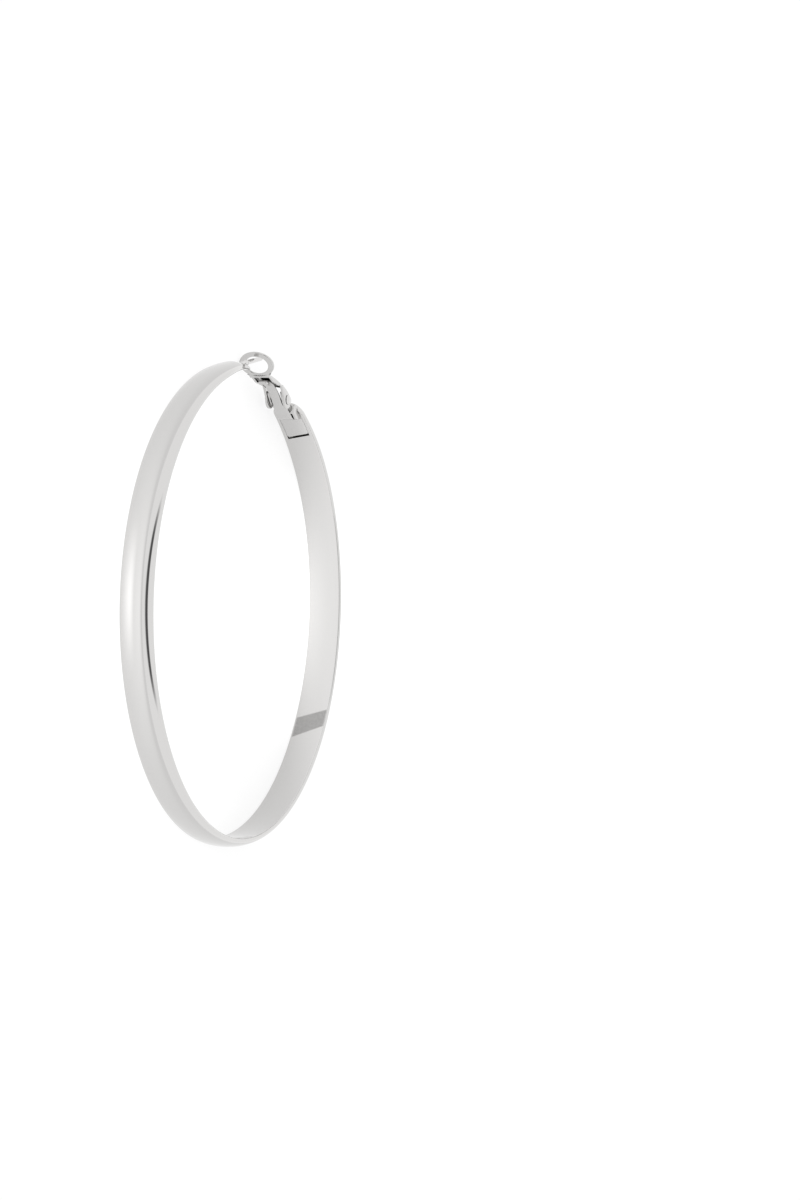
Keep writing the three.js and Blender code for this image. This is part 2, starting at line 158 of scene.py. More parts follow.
def grid_faces(rings: int, points: int, closed: bool) -> np.ndarray:
    """Quads between neighbouring rings of a grid whose points run round a loop.

    Args:
        rings: Number of rings.
        points: Number of points on each ring.
        closed: True where the last ring joins the first.

    Returns:
        Array of faces by 4 corner numbers.
    """
    starts = np.arange(rings if closed else rings - 1)
    ring, point = np.meshgrid(starts, np.arange(points), indexing="ij")
    after = (ring + 1) % rings
    beside = (point + 1) % points
    return np.stack([
        ring * points + point, ring * points + beside,
        after * points + beside, after * points + point,
    ], axis=-1).reshape(-1, 4)


@dataclass
class Surface:
    """A closed surface: a grid of rings, with its two ends drawn together to a middle point.

    Attributes:
        grid: Rings by points by 3.
        closed: True where the last ring joins the first, so that there are no ends.
        reflection_patch: How much of the painted dark reflection each grid point carries, from 0 to
            1.
    """

    grid: np.ndarray
    closed: bool = False
    reflection_patch: Optional[np.ndarray] = None

    def reflection_patch_shares(self) -> np.ndarray:
        """How much of the painted dark reflection each point of mesh_data carries.

        Returns:
            Shares from 0 to 1, with 0 at the ends' middle points.
        """
        flat = np.zeros(self.grid.shape[0] * self.grid.shape[1] + (0 if self.closed else 2))
        if self.reflection_patch is not None:
            flat[:self.reflection_patch.size] = self.reflection_patch.reshape(-1)
        return flat

    def mesh_data(self) -> tuple[np.ndarray, list[np.ndarray]]:
        """The surface's points and faces, turned so that its volume is positive.

        Returns:
            Points by 3, and a list of face arrays (quads, then the ends' triangles).
        """
        rings, points = self.grid.shape[:2]
        places = self.grid.reshape(-1, 3)
        quads = grid_faces(rings, points, self.closed)
        faces = [quads]
        if not self.closed:
            middles = np.stack([self.grid[0].mean(axis=0), self.grid[-1].mean(axis=0)])
            places = np.concatenate([places, middles])
            here = np.arange(points)
            beside = (here + 1) % points
            last = (rings - 1) * points
            total = rings * points
            faces.append(np.stack([np.full(points, total), beside, here], axis=-1))
            faces.append(np.stack([np.full(points, total + 1), last + here, last + beside], axis=-1))
        corners = [places[face] for face in faces]
        volume = sum(
            np.einsum("ij,ij->i", corner[:, 0], np.cross(corner[:, 1], corner[:, 2])).sum()
            + (np.einsum("ij,ij->i", corner[:, 0], np.cross(corner[:, 2], corner[:, 3])).sum()
               if corner.shape[1] == 4 else 0.0)
            for corner in corners)
        if volume < 0.0:
            faces = [face[:, ::-1] for face in faces]
        return places, faces


@dataclass
class Solid:
    """A flat outline given thickness, with a rounded rim on both sides.

    Attributes:
        outline: Points by 2, in order round the outline.
        low: Height of the lower face.
        high: Height of the upper face.
        rim: Radius of the rounded rim.
        rim_steps: Rings on each rim.
    """

    outline: np.ndarray
    low: float
    high: float
    rim: float = 0.06
    rim_steps: int = 4

    def surface(self) -> Surface:
        """The outline carried from one face to the other.

        At each side the outline is drawn in along its own normals by rim * (1 - sin a) while
        the height runs rim * (1 - cos a) in from the face, with a over a quarter turn.

        Returns:
            The closed surface, in the outline's own plane and Z.
        """
        before = np.roll(self.outline, 1, axis=0)
        after = np.roll(self.outline, -1, axis=0)
        along = unit(after - before)
        outward = np.stack([along[:, 1], -along[:, 0]], axis=-1)
        turn = np.linspace(0.0, math.pi / 2, self.rim_steps)
        drawn_in = self.rim * (1.0 - np.sin(turn))
        depth = self.rim * (1.0 - np.cos(turn))
        inset = np.concatenate([drawn_in, drawn_in[::-1]])
        height = np.concatenate([self.low + depth, (self.high - depth)[::-1]])
        flat = self.outline[None, :, :] - inset[:, None, None] * outward[None, :, :]
        level = np.broadcast_to(height[:, None, None], flat.shape[:2] + (1,))
        return Surface(np.concatenate([flat, level], axis=-1))


def build_piece(
    name: str, surfaces: Sequence[Surface], finish: "Finish", body: Body, slot: Slot,
    sharp_above: float = 38.0
) -> bpy.types.Object:
    """Writes closed surfaces into one object that rides on a body.

    Args:
        name: The object's name.
        surfaces: The closed surfaces, in the part's frame, in millimetres.
        finish: The surface's finish, which makes the material.
        body: The body it rides on.
        slot: The record's material slot; not used.
        sharp_above: Edges that turn by more than this many degrees stay sharp.

    Returns:
        The new object.
    """
    places: list[np.ndarray] = []
    faces: list[np.ndarray] = []
    # The number of points written so far, where the next surface's numbers start
    start = 0
    for surface in surfaces:
        points, groups = surface.mesh_data()
        places.append(points)
        faces.extend(group + start for group in groups)
        start += len(points)
    mesh = bpy.data.meshes.new(name)
    corner_counts = np.concatenate([np.full(len(group), group.shape[1]) for group in faces])
    corners = np.concatenate([group.reshape(-1) for group in faces])
    mesh.vertices.add(start)
    mesh.vertices.foreach_set("co", (np.concatenate(places) * MM).astype(np.float32).reshape(-1))
    mesh.loops.add(len(corners))
    mesh.loops.foreach_set("vertex_index", corners.astype(np.int32))
    mesh.polygons.add(len(corner_counts))
    firsts = np.concatenate([[0], np.cumsum(corner_counts)[:-1]])
    mesh.polygons.foreach_set("loop_start", firsts.astype(np.int32))
    mesh.update(calc_edges=True)
    mesh.validate()
    # The band's darker patch is a painted dark reflection; this attribute says where it lies
    if finish.reflection_patch_colour:
        reflection_patch = mesh.attributes.new(REFLECTION_PATCH, "FLOAT", "POINT")
        shares = np.concatenate([surface.reflection_patch_shares() for surface in surfaces])
        reflection_patch.data.foreach_set("value", shares.astype(np.float32))
    mesh.polygons.foreach_set("use_smooth", np.ones(len(mesh.polygons), dtype=bool))
    mesh.set_sharp_from_angle(angle=math.radians(sharp_above))
    mesh.materials.append(finish.material())
    piece = bpy.data.objects.new(name, mesh)
    bpy.context.scene.collection.objects.link(piece)
    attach(piece, body.value)
    return piece


# Finishes


def linear_rgba(hex_colour: str) -> tuple[float, float, float, float]:
    """An sRGB hex colour as linear red, green, blue and an alpha of one.

    Args:
        hex_colour: Six hex digits, with or without a leading '#'.

    Returns:
        Linear values.
    """
    digits = hex_colour.lstrip("#")
    shares = [int(digits[i:i + 2], 16) / 255.0 for i in (0, 2, 4)]
    linear = [s / 12.92 if s <= 0.04045 else ((s + 0.055) / 1.055) ** 2.4 for s in shares]
    return (linear[0], linear[1], linear[2], 1.0)


def add_node(
    tree: bpy.types.NodeTree, kind: str, settings: Optional[dict] = None,
    inputs: Optional[dict] = None
) -> bpy.types.Node:
    """Adds a node, sets its properties, and fills or links its inputs.

    Args:
        tree: The node tree.
        kind: The node's type name.
        settings: Properties by name.
        inputs: Values or output sockets by input name or number.

    Returns:
        The new node.
    """
    node = tree.nodes.new(kind)
    for key, value in (settings or {}).items():
        setattr(node, key, value)
    for key, value in (inputs or {}).items():
        if isinstance(value, bpy.types.NodeSocket):
            tree.links.new(value, node.inputs[key])
        else:
            node.inputs[key].default_value = value
    return node


def maths(
    tree: bpy.types.NodeTree, operation: str, *values: bpy.types.NodeSocket | float
) -> bpy.types.NodeSocket:
    """One sum, product or other step of arithmetic.

    Args:
        tree: The node tree.
        operation: The Math node's operation.
        *values: Its inputs, in order.

    Returns:
        The result.
    """
    return add_node(
        tree, "ShaderNodeMath", {"operation": operation}, dict(enumerate(values))).outputs[0]


def ramp(
    tree: bpy.types.NodeTree, value: bpy.types.NodeSocket | float, start: float, end: float,
    low: float = 0.0, high: float = 1.0, soft: bool = True
) -> bpy.types.NodeSocket:
    """A value that goes from low at start to high at end.

    Args:
        tree: The node tree.
        value: Where the ramp is read.
        start: Where it leaves low.
        end: Where it reaches high.
        low: Its first level.
        high: Its last level.
        soft: True for a soft step, False for a straight line.

    Returns:
        The level.
    """
    return add_node(
        tree, "ShaderNodeMapRange",
        {"interpolation_type": "SMOOTHSTEP" if soft else "LINEAR"},
        {"Value": value, "From Min": start, "From Max": end, "To Min": low, "To Max": high},
    ).outputs["Result"]


def faded(
    tree: bpy.types.NodeTree, value: bpy.types.NodeSocket, middle: float, half: float
) -> bpy.types.NodeSocket:
    """A soft hump: 1 at the middle, falling to 0 at half on either side.

    Args:
        tree: The node tree.
        value: Where the hump is read.
        middle: Its middle.
        half: Half of its width.

    Returns:
        The share from 0 to 1.
    """
    off = maths(tree, "ABSOLUTE", maths(tree, "SUBTRACT", value, middle))
    return ramp(tree, off, 0.0, half, 1.0, 0.0)


@dataclass(frozen=True)
class Finish:
    """A polished stainless steel surface.

    The real surface is rolled, formed and buffed, then tumbled: a near mirror that still
    carries faint lines of the buffing wheel and a slow unevenness in its gloss.

    Attributes:
        name: The material's name.
        colour: The metal's own colour.
        roughness_low: Roughness where the gloss is best.
        roughness_high: Roughness where it is worst.
        buffing_mm: Distance between the wheel's lines.
        bump: How strong these lines are.
        cloud_mm: Width of the uneven places in the gloss.
        crevice_shade_mm: Folds closer than this are darkened with painted shade; 0 for none.
        crevice_shade_colour: The painted shade's colour.
        reflection_patch_colour: Colour of a darker patch painted on the mirror as a dark reflection;
            None for none.
        reflection_patch_roughness: Its roughness.
        mottle_mm: Width of its spots.
    """

    name: str
    colour: str
    roughness_low: float
    roughness_high: float
    buffing_mm: float = 0.22
    bump: float = 0.012
    cloud_mm: float = 6.0
    crevice_shade_mm: float = 0.0
    crevice_shade_colour: str = "#3A3937"
    reflection_patch_colour: Optional[str] = None
    reflection_patch_roughness: float = 0.36
    mottle_mm: float = 0.45

    def material(self) -> bpy.types.Material:
        """Makes the material once and hands the same one out again.

        Returns:
            The material.
        """
        made = bpy.data.materials.get(self.name)
        if made:
            return made
        made = bpy.data.materials.new(self.name)
        made.use_nodes = True
        tree = made.node_tree
        shader = tree.nodes["Principled BSDF"]
        shader.inputs["Base Color"].default_value = linear_rgba(self.colour)
        shader.inputs["Metallic"].default_value = 1.0
        # Painted shade: folds where ambient occlusion finds metal close by turn dark
        if self.crevice_shade_mm > 0.0:
            tree.links.new(self.painted_crevice_shade(tree), shader.inputs["Base Color"])
        where = add_node(tree, "ShaderNodeTexCoord").outputs["Object"]
        # Clouds as wide as a fingertip's smear: the gloss wanders a little between them.
        clouds = add_node(tree, "ShaderNodeTexNoise", {"noise_dimensions": "3D"}, {
            "Vector": where, "Scale": 1.0 / (self.cloud_mm * MM), "Detail": 3.0,
            "Roughness": 0.55,
        })
        roughness = ramp(
            tree, clouds.outputs["Fac"], 0.3, 0.7, self.roughness_low, self.roughness_high,
            soft=False)
        # A darker, rougher patch: a painted dark reflection on the mirror
        if self.reflection_patch_colour:
            tint, roughness = self.paint_reflection_patch(tree, where, roughness)
            tree.links.new(tint, shader.inputs["Base Color"])
        tree.links.new(roughness, shader.inputs["Roughness"])
        tree.links.new(self.wheel_lines(tree, where), shader.inputs["Normal"])
        return made

    def painted_crevice_shade(self, tree: bpy.types.NodeTree) -> bpy.types.NodeSocket:
        """Painted shade in the folds, darkest where ambient occlusion finds metal close by.

        Args:
            tree: The node tree.

        Returns:
            The colour: the painted shade's in the folds and the metal's in the open.
        """
        openness = add_node(tree, "ShaderNodeAmbientOcclusion", {"samples": 8}, {
            "Distance": self.crevice_shade_mm * MM}).outputs["AO"]
        return add_node(tree, "ShaderNodeMix", {"data_type": "RGBA"}, {
            0: ramp(tree, openness, 0.15, 0.6), 6: linear_rgba(self.crevice_shade_colour),
            7: linear_rgba(self.colour)}).outputs[2]

    def paint_reflection_patch(
        self, tree: bpy.types.NodeTree, where: bpy.types.NodeSocket,
        roughness: bpy.types.NodeSocket
    ) -> tuple[bpy.types.NodeSocket, bpy.types.NodeSocket]:
        """A short darker patch, a painted dark reflection on the mirror: greyer, mottled and
        rougher.

        Args:
            tree: The node tree.
            where: The object's own coordinates.
            roughness: The roughness of the polished metal beside it.

        Returns:
            The colour and the roughness.
        """
        share = add_node(tree, "ShaderNodeAttribute", {"attribute_name": REFLECTION_PATCH}).outputs["Fac"]
        grain = add_node(tree, "ShaderNodeTexNoise", {"noise_dimensions": "3D"}, {
            "Vector": where, "Scale": 1.0 / (self.mottle_mm * MM), "Detail": 2.0})
        broken = ramp(tree, grain.outputs["Fac"], 0.3, 0.7, 0.82, 1.0, soft=False)
        tint = add_node(tree, "ShaderNodeMix", {"data_type": "RGBA"}, {
            0: maths(tree, "MULTIPLY", share, broken),
            6: linear_rgba(self.colour), 7: linear_rgba(self.reflection_patch_colour)}).outputs[2]
        mixed = add_node(tree, "ShaderNodeMix", {"data_type": "FLOAT"}, {
            0: share, 2: roughness, 3: self.reflection_patch_roughness}).outputs[0]
        return tint, mixed

    def wheel_lines(
        self, tree: bpy.types.NodeTree, where: bpy.types.NodeSocket
    ) -> bpy.types.NodeSocket:
        """The wheel's lines run along the band: fine across the hoop's axis, drawn out round it.

        The noise is squeezed WHEEL_STRETCH times along the axis, and its scale is a tenth of
        one line's, so that the lines are long and some stand out from the rest.

        Args:
            tree: The node tree.
            where: The object's own coordinates.

        Returns:
            The bent normal.
        """
        stretched = add_node(tree, "ShaderNodeMapping", None, {
            "Vector": where, "Scale": (1.0, 1.0, WHEEL_STRETCH),
        })
        lines = add_node(tree, "ShaderNodeTexNoise", {"noise_dimensions": "3D"}, {
            "Vector": stretched.outputs["Vector"], "Scale": 0.1 / (self.buffing_mm * MM),
            "Detail": 2.0,
        })
        return add_node(tree, "ShaderNodeBump", None, {
            "Strength": self.bump, "Distance": WHEEL_DEPTH_MM * MM,
            "Height": lines.outputs["Fac"],
        }).outputs["Normal"]


# Tumbled and wheel-polished 304 steel sheet: a clean grey mirror, its white a little warm,
# with one darker patch inside, a painted dark reflection.
MIRROR_STEEL = Finish(
    "polished_stainless_band", "#C9C8C7", 0.045, 0.075, reflection_patch_colour="#9A9998")
# The same steel pressed and barrel-polished only: softer reflections, and painted shade in its
# folds.
PRESSED_STEEL = Finish(
    "barrel_polished_stainless", "#C5C4C3", 0.1, 0.18, 0.15, 0.03, 2.5, crevice_shade_mm=1.0)
# Drawn wire, polished last by hand: bright, with soft lines along it, and painted shade in its
# tightest folds.
WIRE_STEEL = Finish(
    "polished_stainless_wire", "#CCCBCA", 0.06, 0.1, 0.15, 0.02, 2.0, crevice_shade_mm=0.35)


# The hoop's layout, shared by the band and the clasp


@dataclass
class HoopLayout:
    """Where the band starts and ends and where the clasp stands, as in the solids.

    Attributes:
        diameter: The hoop's outer diameter.
        band_thickness: Height of the dome over the inner face.
        rivet_arc: Distance round the inner face from the top to the rivet.
        rivet_inset: How far the rivet's axis lies inside the inner face.
        shell_end: Distance from the rivet back to the band's clasp end.
        ear_gap: Distance from the loop's middle to the band's front tip.
        clip_sheet: Thickness of the loop's sheet.
        clip_reach: Distance from the rivet to the loop's root.
        clip_root_height: Height of the arm's outer face at that root.
        loop_length: Length of the oval loop.
        loop_tilt: The loop's slope against the arm, in degrees.
        centre: The hoop's centre in the part's frame.
    """

    diameter: float = 80.0
    band_thickness: float = 1.5
    rivet_arc: float = 16.95
    rivet_inset: float = 0.15
    shell_end: float = 3.3
    ear_gap: float = 3.7
    clip_sheet: float = 0.4
    clip_reach: float = 8.66
    clip_root_height: float = 0.24
    loop_length: float = 4.84
    loop_tilt: float = 28.8
    centre: np.ndarray = field(init=False)

    def __post_init__(self) -> None:
        """Reads the hoop's centre from the band's box: its crest circle touches the low Y side."""
        low, high = (np.array(corner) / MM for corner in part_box("hoop_band"))
        self.centre = np.array(
            [(low[0] + high[0]) / 2, low[1] + self.diameter / 2, (low[2] + high[2]) / 2])

    @property
    def radius_inner(self) -> float:
        """Radius of the band's inner face."""
        return self.diameter / 2 - self.band_thickness

    @property
    def rivet_angle(self) -> float:
        """The rivet's angle round the hoop, from +X."""
        return math.pi / 2 - self.rivet_arc / self.radius_inner

    @property
    def shell_angle(self) -> float:
        """The angle of the band's clasp end."""
        return self.rivet_angle - self.shell_end / self.radius_inner

    @property
    def clasp_matrix(self) -> np.ndarray:
        """The clasp's frame in the part's frame.

        Returns:
            A 4 by 4 matrix, in millimetres.
        """
        radius = self.radius_inner - self.rivet_inset
        turn = self.rivet_angle - math.pi / 2
        matrix = np.eye(4)
        matrix[:3, 0] = [math.cos(turn), math.sin(turn), 0.0]
        matrix[:3, 1] = [-math.sin(turn), math.cos(turn), 0.0]
        matrix[:3, 3] = self.centre + radius * np.array(
            [math.cos(self.rivet_angle), math.sin(self.rivet_angle), 0.0])
        return matrix

    def on_loop(self, along: float) -> np.ndarray:
        """A point in the middle of the loop's sheet, by its distance from the loop's centre.

        Args:
            along: Distance from the centre towards the loop's far end.

        Returns:
            The point in the clasp's frame.
        """
        reach = self.loop_length / 2 + along
        lean = math.radians(self.loop_tilt)
        return np.array([
            -self.clip_reach - reach * math.cos(lean),
            self.clip_root_height - self.clip_sheet + reach * math.sin(lean), 0.0])

    def to_part(self, points: np.ndarray) -> np.ndarray:
        """Points in the clasp's frame, given in the part's frame.

        Args:
            points: Array whose last axis is x, y, z.

        Returns:
            The same array shape in the part's frame.
        """
        matrix = self.clasp_matrix
        return points @ matrix[:3, :3].T + matrix[:3, 3]

    @property
    def tip_angle(self) -> float:
        """The angle of the band's front tip."""
        middle = self.to_part(self.on_loop(0.0)) - self.centre
        return math.atan2(middle[1], middle[0]) + self.ear_gap / self.radius_inner

    def on_hoop(self, angle: np.ndarray, radius: np.ndarray, across: np.ndarray) -> np.ndarray:
        """Points by angle, distance from the hoop's axis and height along it.

        Args:
            angle: Angles from +X.
            radius: Distances from the axis.
            across: Heights from the band's middle plane.

        Returns:
            Points in the part's frame.
        """
        return self.centre + np.stack(
            [radius * np.cos(angle), radius * np.sin(angle), across], axis=-1)

    def placed(self, surface: Surface) -> Surface:
        """A surface worked out in the clasp's frame, moved to the part's frame."""
        return Surface(self.to_part(surface.grid), surface.closed)


@dataclass(frozen=True)
class Stretch:
    """A run of evenly spaced rings along the band.

    Attributes:
        start: Distance of the first ring from the clasp end.
        end: Distance of the last one.
        rings: Number of rings.
        with_end: False where the next stretch starts on the end.
    """

    start: float
    end: float
    rings: int
    with_end: bool = True

    def places(self) -> np.ndarray:
        """The rings' distances from the clasp end."""
        return np.linspace(self.start, self.end, self.rings, endpoint=self.with_end)


@dataclass
class Band:
    """The domed band, its recess for the clasp plate, and the ear post soldered in its tip.

    Attributes:
        layout: The hoop's layout.
        width: The band's full width.
        thickness: Height of its dome over the inner face.
        edge: Height of its flat side edges.
        edge_radius: Rounding from the inner face to the side edge.
        taper_length: Length over which it narrows to the tip.
        tip_width: Its width at the tip, whose plan is half a disc.
        thinning_length: Length over which it thins to the tip.
        tip_thickness: Its thickness at the tip.
        flare: How far the inner face opens at the tip.
        flare_length: Length of that opening.
        shell_width: Its width at the clasp end.
        shell_length: Length over which it narrows to the clasp end.
        shell_corner: Length of the clasp end's rounded corners.
        shell_flat: Share of the clasp end's width that is left between them.
        end_rounding: Length of the rounding of the clasp end's thickness.
        end_share: Share of the thickness that the clasp end's very edge has.
        pocket_half: Half the recess's width.
        pocket_depth: The recess's depth.
        pocket_end: Distance from the clasp end to the recess's end.
        joint_skew: How far askew the joint line is over the plate's width.
        slant_reach: Spread of the slanted rings to either side of the joint line.
        plate_width: Width of the clasp plate.
        wall: Width of the recess's steep walls.
        keep: Margin of the inner face's own places beside and past the recess.
        rim_blend: Stretch of half width over which the rim beside the recess comes up.
        reflection_patch_edges: Place and slope of the two lines that bound the darker patch, a
            painted dark reflection.
        reflection_patch_half: Half its width.
        reflection_patch_blur: Half the width of its soft edges.
        fine_rings: From where to where the rings lie close together round it.
        post_diameter: The ear post's diameter.
        post_beyond: How far the post stands out past the loop.
        post_root: How far inside the tip it starts.
        post_above_centre: Where it crosses the loop, over the loop's middle.
        solder: How much the solder thickens it.
        solder_spread: Length over which the solder fades out.
        solder_inside: How far inside the tip the solder is thickest.
        dome_points: Points across the dome.
    """

    layout: HoopLayout
    width: float = 5.85
    thickness: float = 1.5
    edge: float = 0.36
    edge_radius: float = 0.3
    taper_length: float = 15.0
    tip_width: float = 1.4
    thinning_length: float = 7.0
    tip_thickness: float = 0.7
    flare: float = 0.68
    flare_length: float = 28.0
    shell_width: float = 5.4
    shell_length: float = 14.0
    shell_corner: float = 2.3
    shell_flat: float = 0.4
    end_rounding: float = 0.5
    end_share: float = 0.62
    pocket_half: float = 2.056
    pocket_depth: float = 0.51
    pocket_end: float = 7.76
    joint_skew: float = 0.95
    slant_reach: float = 3.0
    plate_width: float = 4.1
    wall: float = 0.03
    keep: tuple[float, float] = (0.1, 2.0)
    rim_blend: tuple[float, float] = (0.05, 0.35)
    reflection_patch_edges: tuple[tuple[float, float], ...] = ((59.42, -0.33), (62.96, -0.466))
    reflection_patch_half: float = 2.72
    reflection_patch_blur: float = 0.12
    fine_rings: tuple[float, float] = (56.1, 66.0)
    post_diameter: float = 0.76
    post_beyond: float = 2.4
    post_root: float = 4.6
    post_above_centre: float = 0.86
    solder: float = 0.1
    solder_spread: float = 0.45
    solder_inside: float = 0.3
    dome_points: int = 57

    @property
    def arc(self) -> float:
        """Length of the band's inner face from the clasp end to the tip."""
        layout = self.layout
        return (layout.shell_angle - layout.tip_angle + 2 * math.pi) * layout.radius_inner

    def stations(self) -> np.ndarray:
        """Distances from the clasp end of the rings, closer together where the form changes.

        Returns:
            Increasing distances.
        """
        joint, end, tip = self.pocket_end, self.arc, self.tip_width / 2
        fine_start, fine_end = self.fine_rings
        near_joint, corner_end = 0.4, 2.5
        rounded = 1.0 - np.cos(np.linspace(0.0, math.pi / 2, 15))
        # In order: the clasp end's corners, beside the recess, both sides of the joint line,
        # the plain band, the painted dark reflection's patch, the plain band again and the front
        # taper.
        stretches = (
            Stretch(self.end_rounding, corner_end, 50, with_end=False),
            Stretch(corner_end, joint - near_joint, 40, with_end=False),
            Stretch(joint - near_joint, joint, 7),
            Stretch(joint + self.wall, joint + near_joint, 7),
            Stretch(joint + 0.6, fine_start - 0.1, 97),
            Stretch(fine_start, fine_end, 110),
            Stretch(fine_end + 0.5, end - 12.0, 330),
            Stretch(end - 11.7, end - tip, 70),
        )
        return np.concatenate([
            self.end_rounding * rounded[:-1], *[stretch.places() for stretch in stretches],
            end - tip * rounded[::-1][1:-1], [end - 1e-3]])

    def profile(self) -> tuple[np.ndarray, np.ndarray]:
        """The band's section: flat inside, rounded edges, and half an ellipse outside.

        Returns:
            Shares of the half width, and heights over the inner face, round the section.
        """
        half = self.width / 2
        rounding = self.edge_radius
        lip, inside = self.pocket_half + self.wall, self.pocket_half
        flat = np.concatenate([
            np.linspace(-half + rounding, -lip, 4), np.linspace(-inside, inside, 13),
            np.linspace(lip, half - rounding, 4)])
        turn = np.linspace(0.0, math.pi / 2, 6)[1:]
        corner_across = half - rounding + rounding * np.sin(turn)
        corner_height = rounding - rounding * np.cos(turn)
        dome = np.linspace(0.0, math.pi, self.dome_points)
        across = np.concatenate([
            flat, corner_across, half * np.cos(dome), -corner_across[::-1]])
        height = np.concatenate([
            np.zeros_like(flat), corner_height,
            self.edge + (self.thickness - self.edge) * np.sin(dome), corner_height[::-1]])
        return across / half, height

    def half_width(self, from_shell: np.ndarray) -> np.ndarray:
        """Half the band's width: it narrows in a quarter sine towards both ends.

        The last stretch follows the ends' plan: half a disc at the tip, and at the clasp end
        half * (1 - (1 - flat) * (1 - sqrt(s / corner))^2).

        Args:
            from_shell: Distances from the clasp end.

        Returns:
            Half widths.
        """
        from_tip = self.arc - from_shell
        at_tip = np.clip(from_tip / self.taper_length, 0.0, 1.0)
        at_shell = np.clip(from_shell / self.shell_length, 0.0, 1.0)
        tip, shell = self.tip_width / self.width, self.shell_width / self.width
        share = ((tip + (1 - tip) * np.sin(at_tip * math.pi / 2))
                 * (shell + (1 - shell) * np.sin(at_shell * math.pi / 2)))
        corner = np.clip(from_shell / self.shell_corner, 0.0, 1.0)
        share *= 1.0 - (1.0 - self.shell_flat) * (1.0 - np.sqrt(corner)) ** 2
        disc = np.clip(from_tip / (self.tip_width / 2), 0.0, 1.0)
        return self.width / 2 * share * np.sqrt(1.0 - (1.0 - disc) ** 2)

    def height_share(self, from_shell: np.ndarray) -> np.ndarray:
        """The share of its thickness that the band has.

        It is tip + (1 - tip) * distance from the tip / thinning length, times
        low + (1 - low) * sqrt(1 - (1 - s)^2) with s running over the clasp end's rounding.

        Args:
            from_shell: Distances from the clasp end.

        Returns:
            Shares.
        """
        from_tip = self.arc - from_shell
        tip = self.tip_thickness / self.thickness
        share = tip + (1 - tip) * np.clip(from_tip / self.thinning_length, 0.0, 1.0)
        ends = np.clip(from_shell / self.end_rounding, 0.0, 1.0)
        low = self.end_share
        return share * (low + (1.0 - low) * np.sqrt(1.0 - (1.0 - ends) ** 2))

    def inner_radius(self, from_shell: np.ndarray) -> np.ndarray:
        """The inner face's radius: it opens by flare * (1 - distance / length)^2 at the tip.

        Args:
            from_shell: Distances from the clasp end.

        Returns:
            Radii.
        """
        share = np.clip(1.0 - (self.arc - from_shell) / self.flare_length, 0.0, 1.0)
        return self.layout.radius_inner + self.flare * share ** 2

    def shell_surface(self) -> Surface:
        """The section carried round the hoop, with the plate's recess pressed into it.

        Every ring is slanted near the joint line, by skew * z / plate width, so that the
        recess ends on a ring. Inside the recess no point lies under its floor.

        Returns:
            The closed surface.
        """
        shares, heights = self.profile()
        stations = self.stations()
        along = stations[:, None]
        near = np.exp(-((along - self.pocket_end) / self.slant_reach) ** 2)
        clear = smooth_ramp(along, 0.0, self.slant_reach)
        across_full = shares[None, :] * self.width / 2
        lean = np.clip(across_full, -self.pocket_half, self.pocket_half)
        along = along - near * clear * self.joint_skew * lean / self.plate_width
        half = self.half_width(along)
        # Near the recess the inner face keeps its own places across, so its walls stay straight.
        beside, past = self.keep
        blend_start, blend_end = self.rim_blend
        straight = (heights[None, :] < SAME) & (np.abs(across_full) < self.pocket_half + beside)
        keeps = straight & (along < self.pocket_end + past)
        parallel = smooth_ramp(
            half, self.pocket_half + beside, self.pocket_half + beside + blend_end)
        across = shares[None, :] * half
        across = np.where(
            keeps, across + parallel * (
                np.clip(across_full, -half + self.wall, half - self.wall) - across), across)
        height = heights[None, :] * self.height_share(along)
        ring = np.arange(len(along))[:, None]
        last_inside = int(np.searchsorted(stations, self.pocket_end + SAME)) - 1
        pressed = (ring <= last_inside) & (np.abs(across) <= self.pocket_half + SAME)
        height = np.where(pressed, np.maximum(height, self.pocket_depth), height)
        # Where the rounded corners reach the recess its rim sinks to the recess's floor.
        sunk = 1.0 - smooth_ramp(
            half, self.pocket_half + blend_start, self.pocket_half + blend_end)
        rim = straight & (ring <= last_inside) & ~pressed
        reach = smooth_ramp(
            np.abs(across), self.pocket_half, self.pocket_half + self.wall)
        sunk = np.maximum(np.broadcast_to(sunk, reach.shape), 1.0 - reach)
        height = np.where(rim, np.maximum(height, self.pocket_depth * sunk), height)
        angle = self.layout.shell_angle - along / self.layout.radius_inner
        angle = np.broadcast_to(angle, across.shape)
        radius = self.inner_radius(along) + height
        # The darker patch on the inner face is a painted dark reflection
        return Surface(
            self.layout.on_hoop(angle, radius, across),
            reflection_patch=self.reflection_patch_share(along, across, height))

    def reflection_patch_share(
        self, along: np.ndarray, across: np.ndarray, height: np.ndarray
    ) -> np.ndarray:
        """The painted dark reflection: a darker patch of the inner face between two lines askew
        across the band.

        Each line stands at place + slope * z from the clasp end, with a soft step on it.

        Args:
            along: Distances from the clasp end.
            across: Heights along the hoop's axis from the band's middle.
            height: Heights over the inner face.

        Returns:
            Shares from 0 to 1.
        """
        (near, near_slope), (far, far_slope) = self.reflection_patch_edges
        blur, side_blur = self.reflection_patch_blur, 0.2
        past = along - near - near_slope * across
        before = far + far_slope * across - along
        face = (height < SAME) * (1.0 - smooth_ramp(
            np.abs(across), self.reflection_patch_half - side_blur, self.reflection_patch_half))
        return smooth_ramp(past, -blur, blur) * smooth_ramp(before, -blur, blur) * face

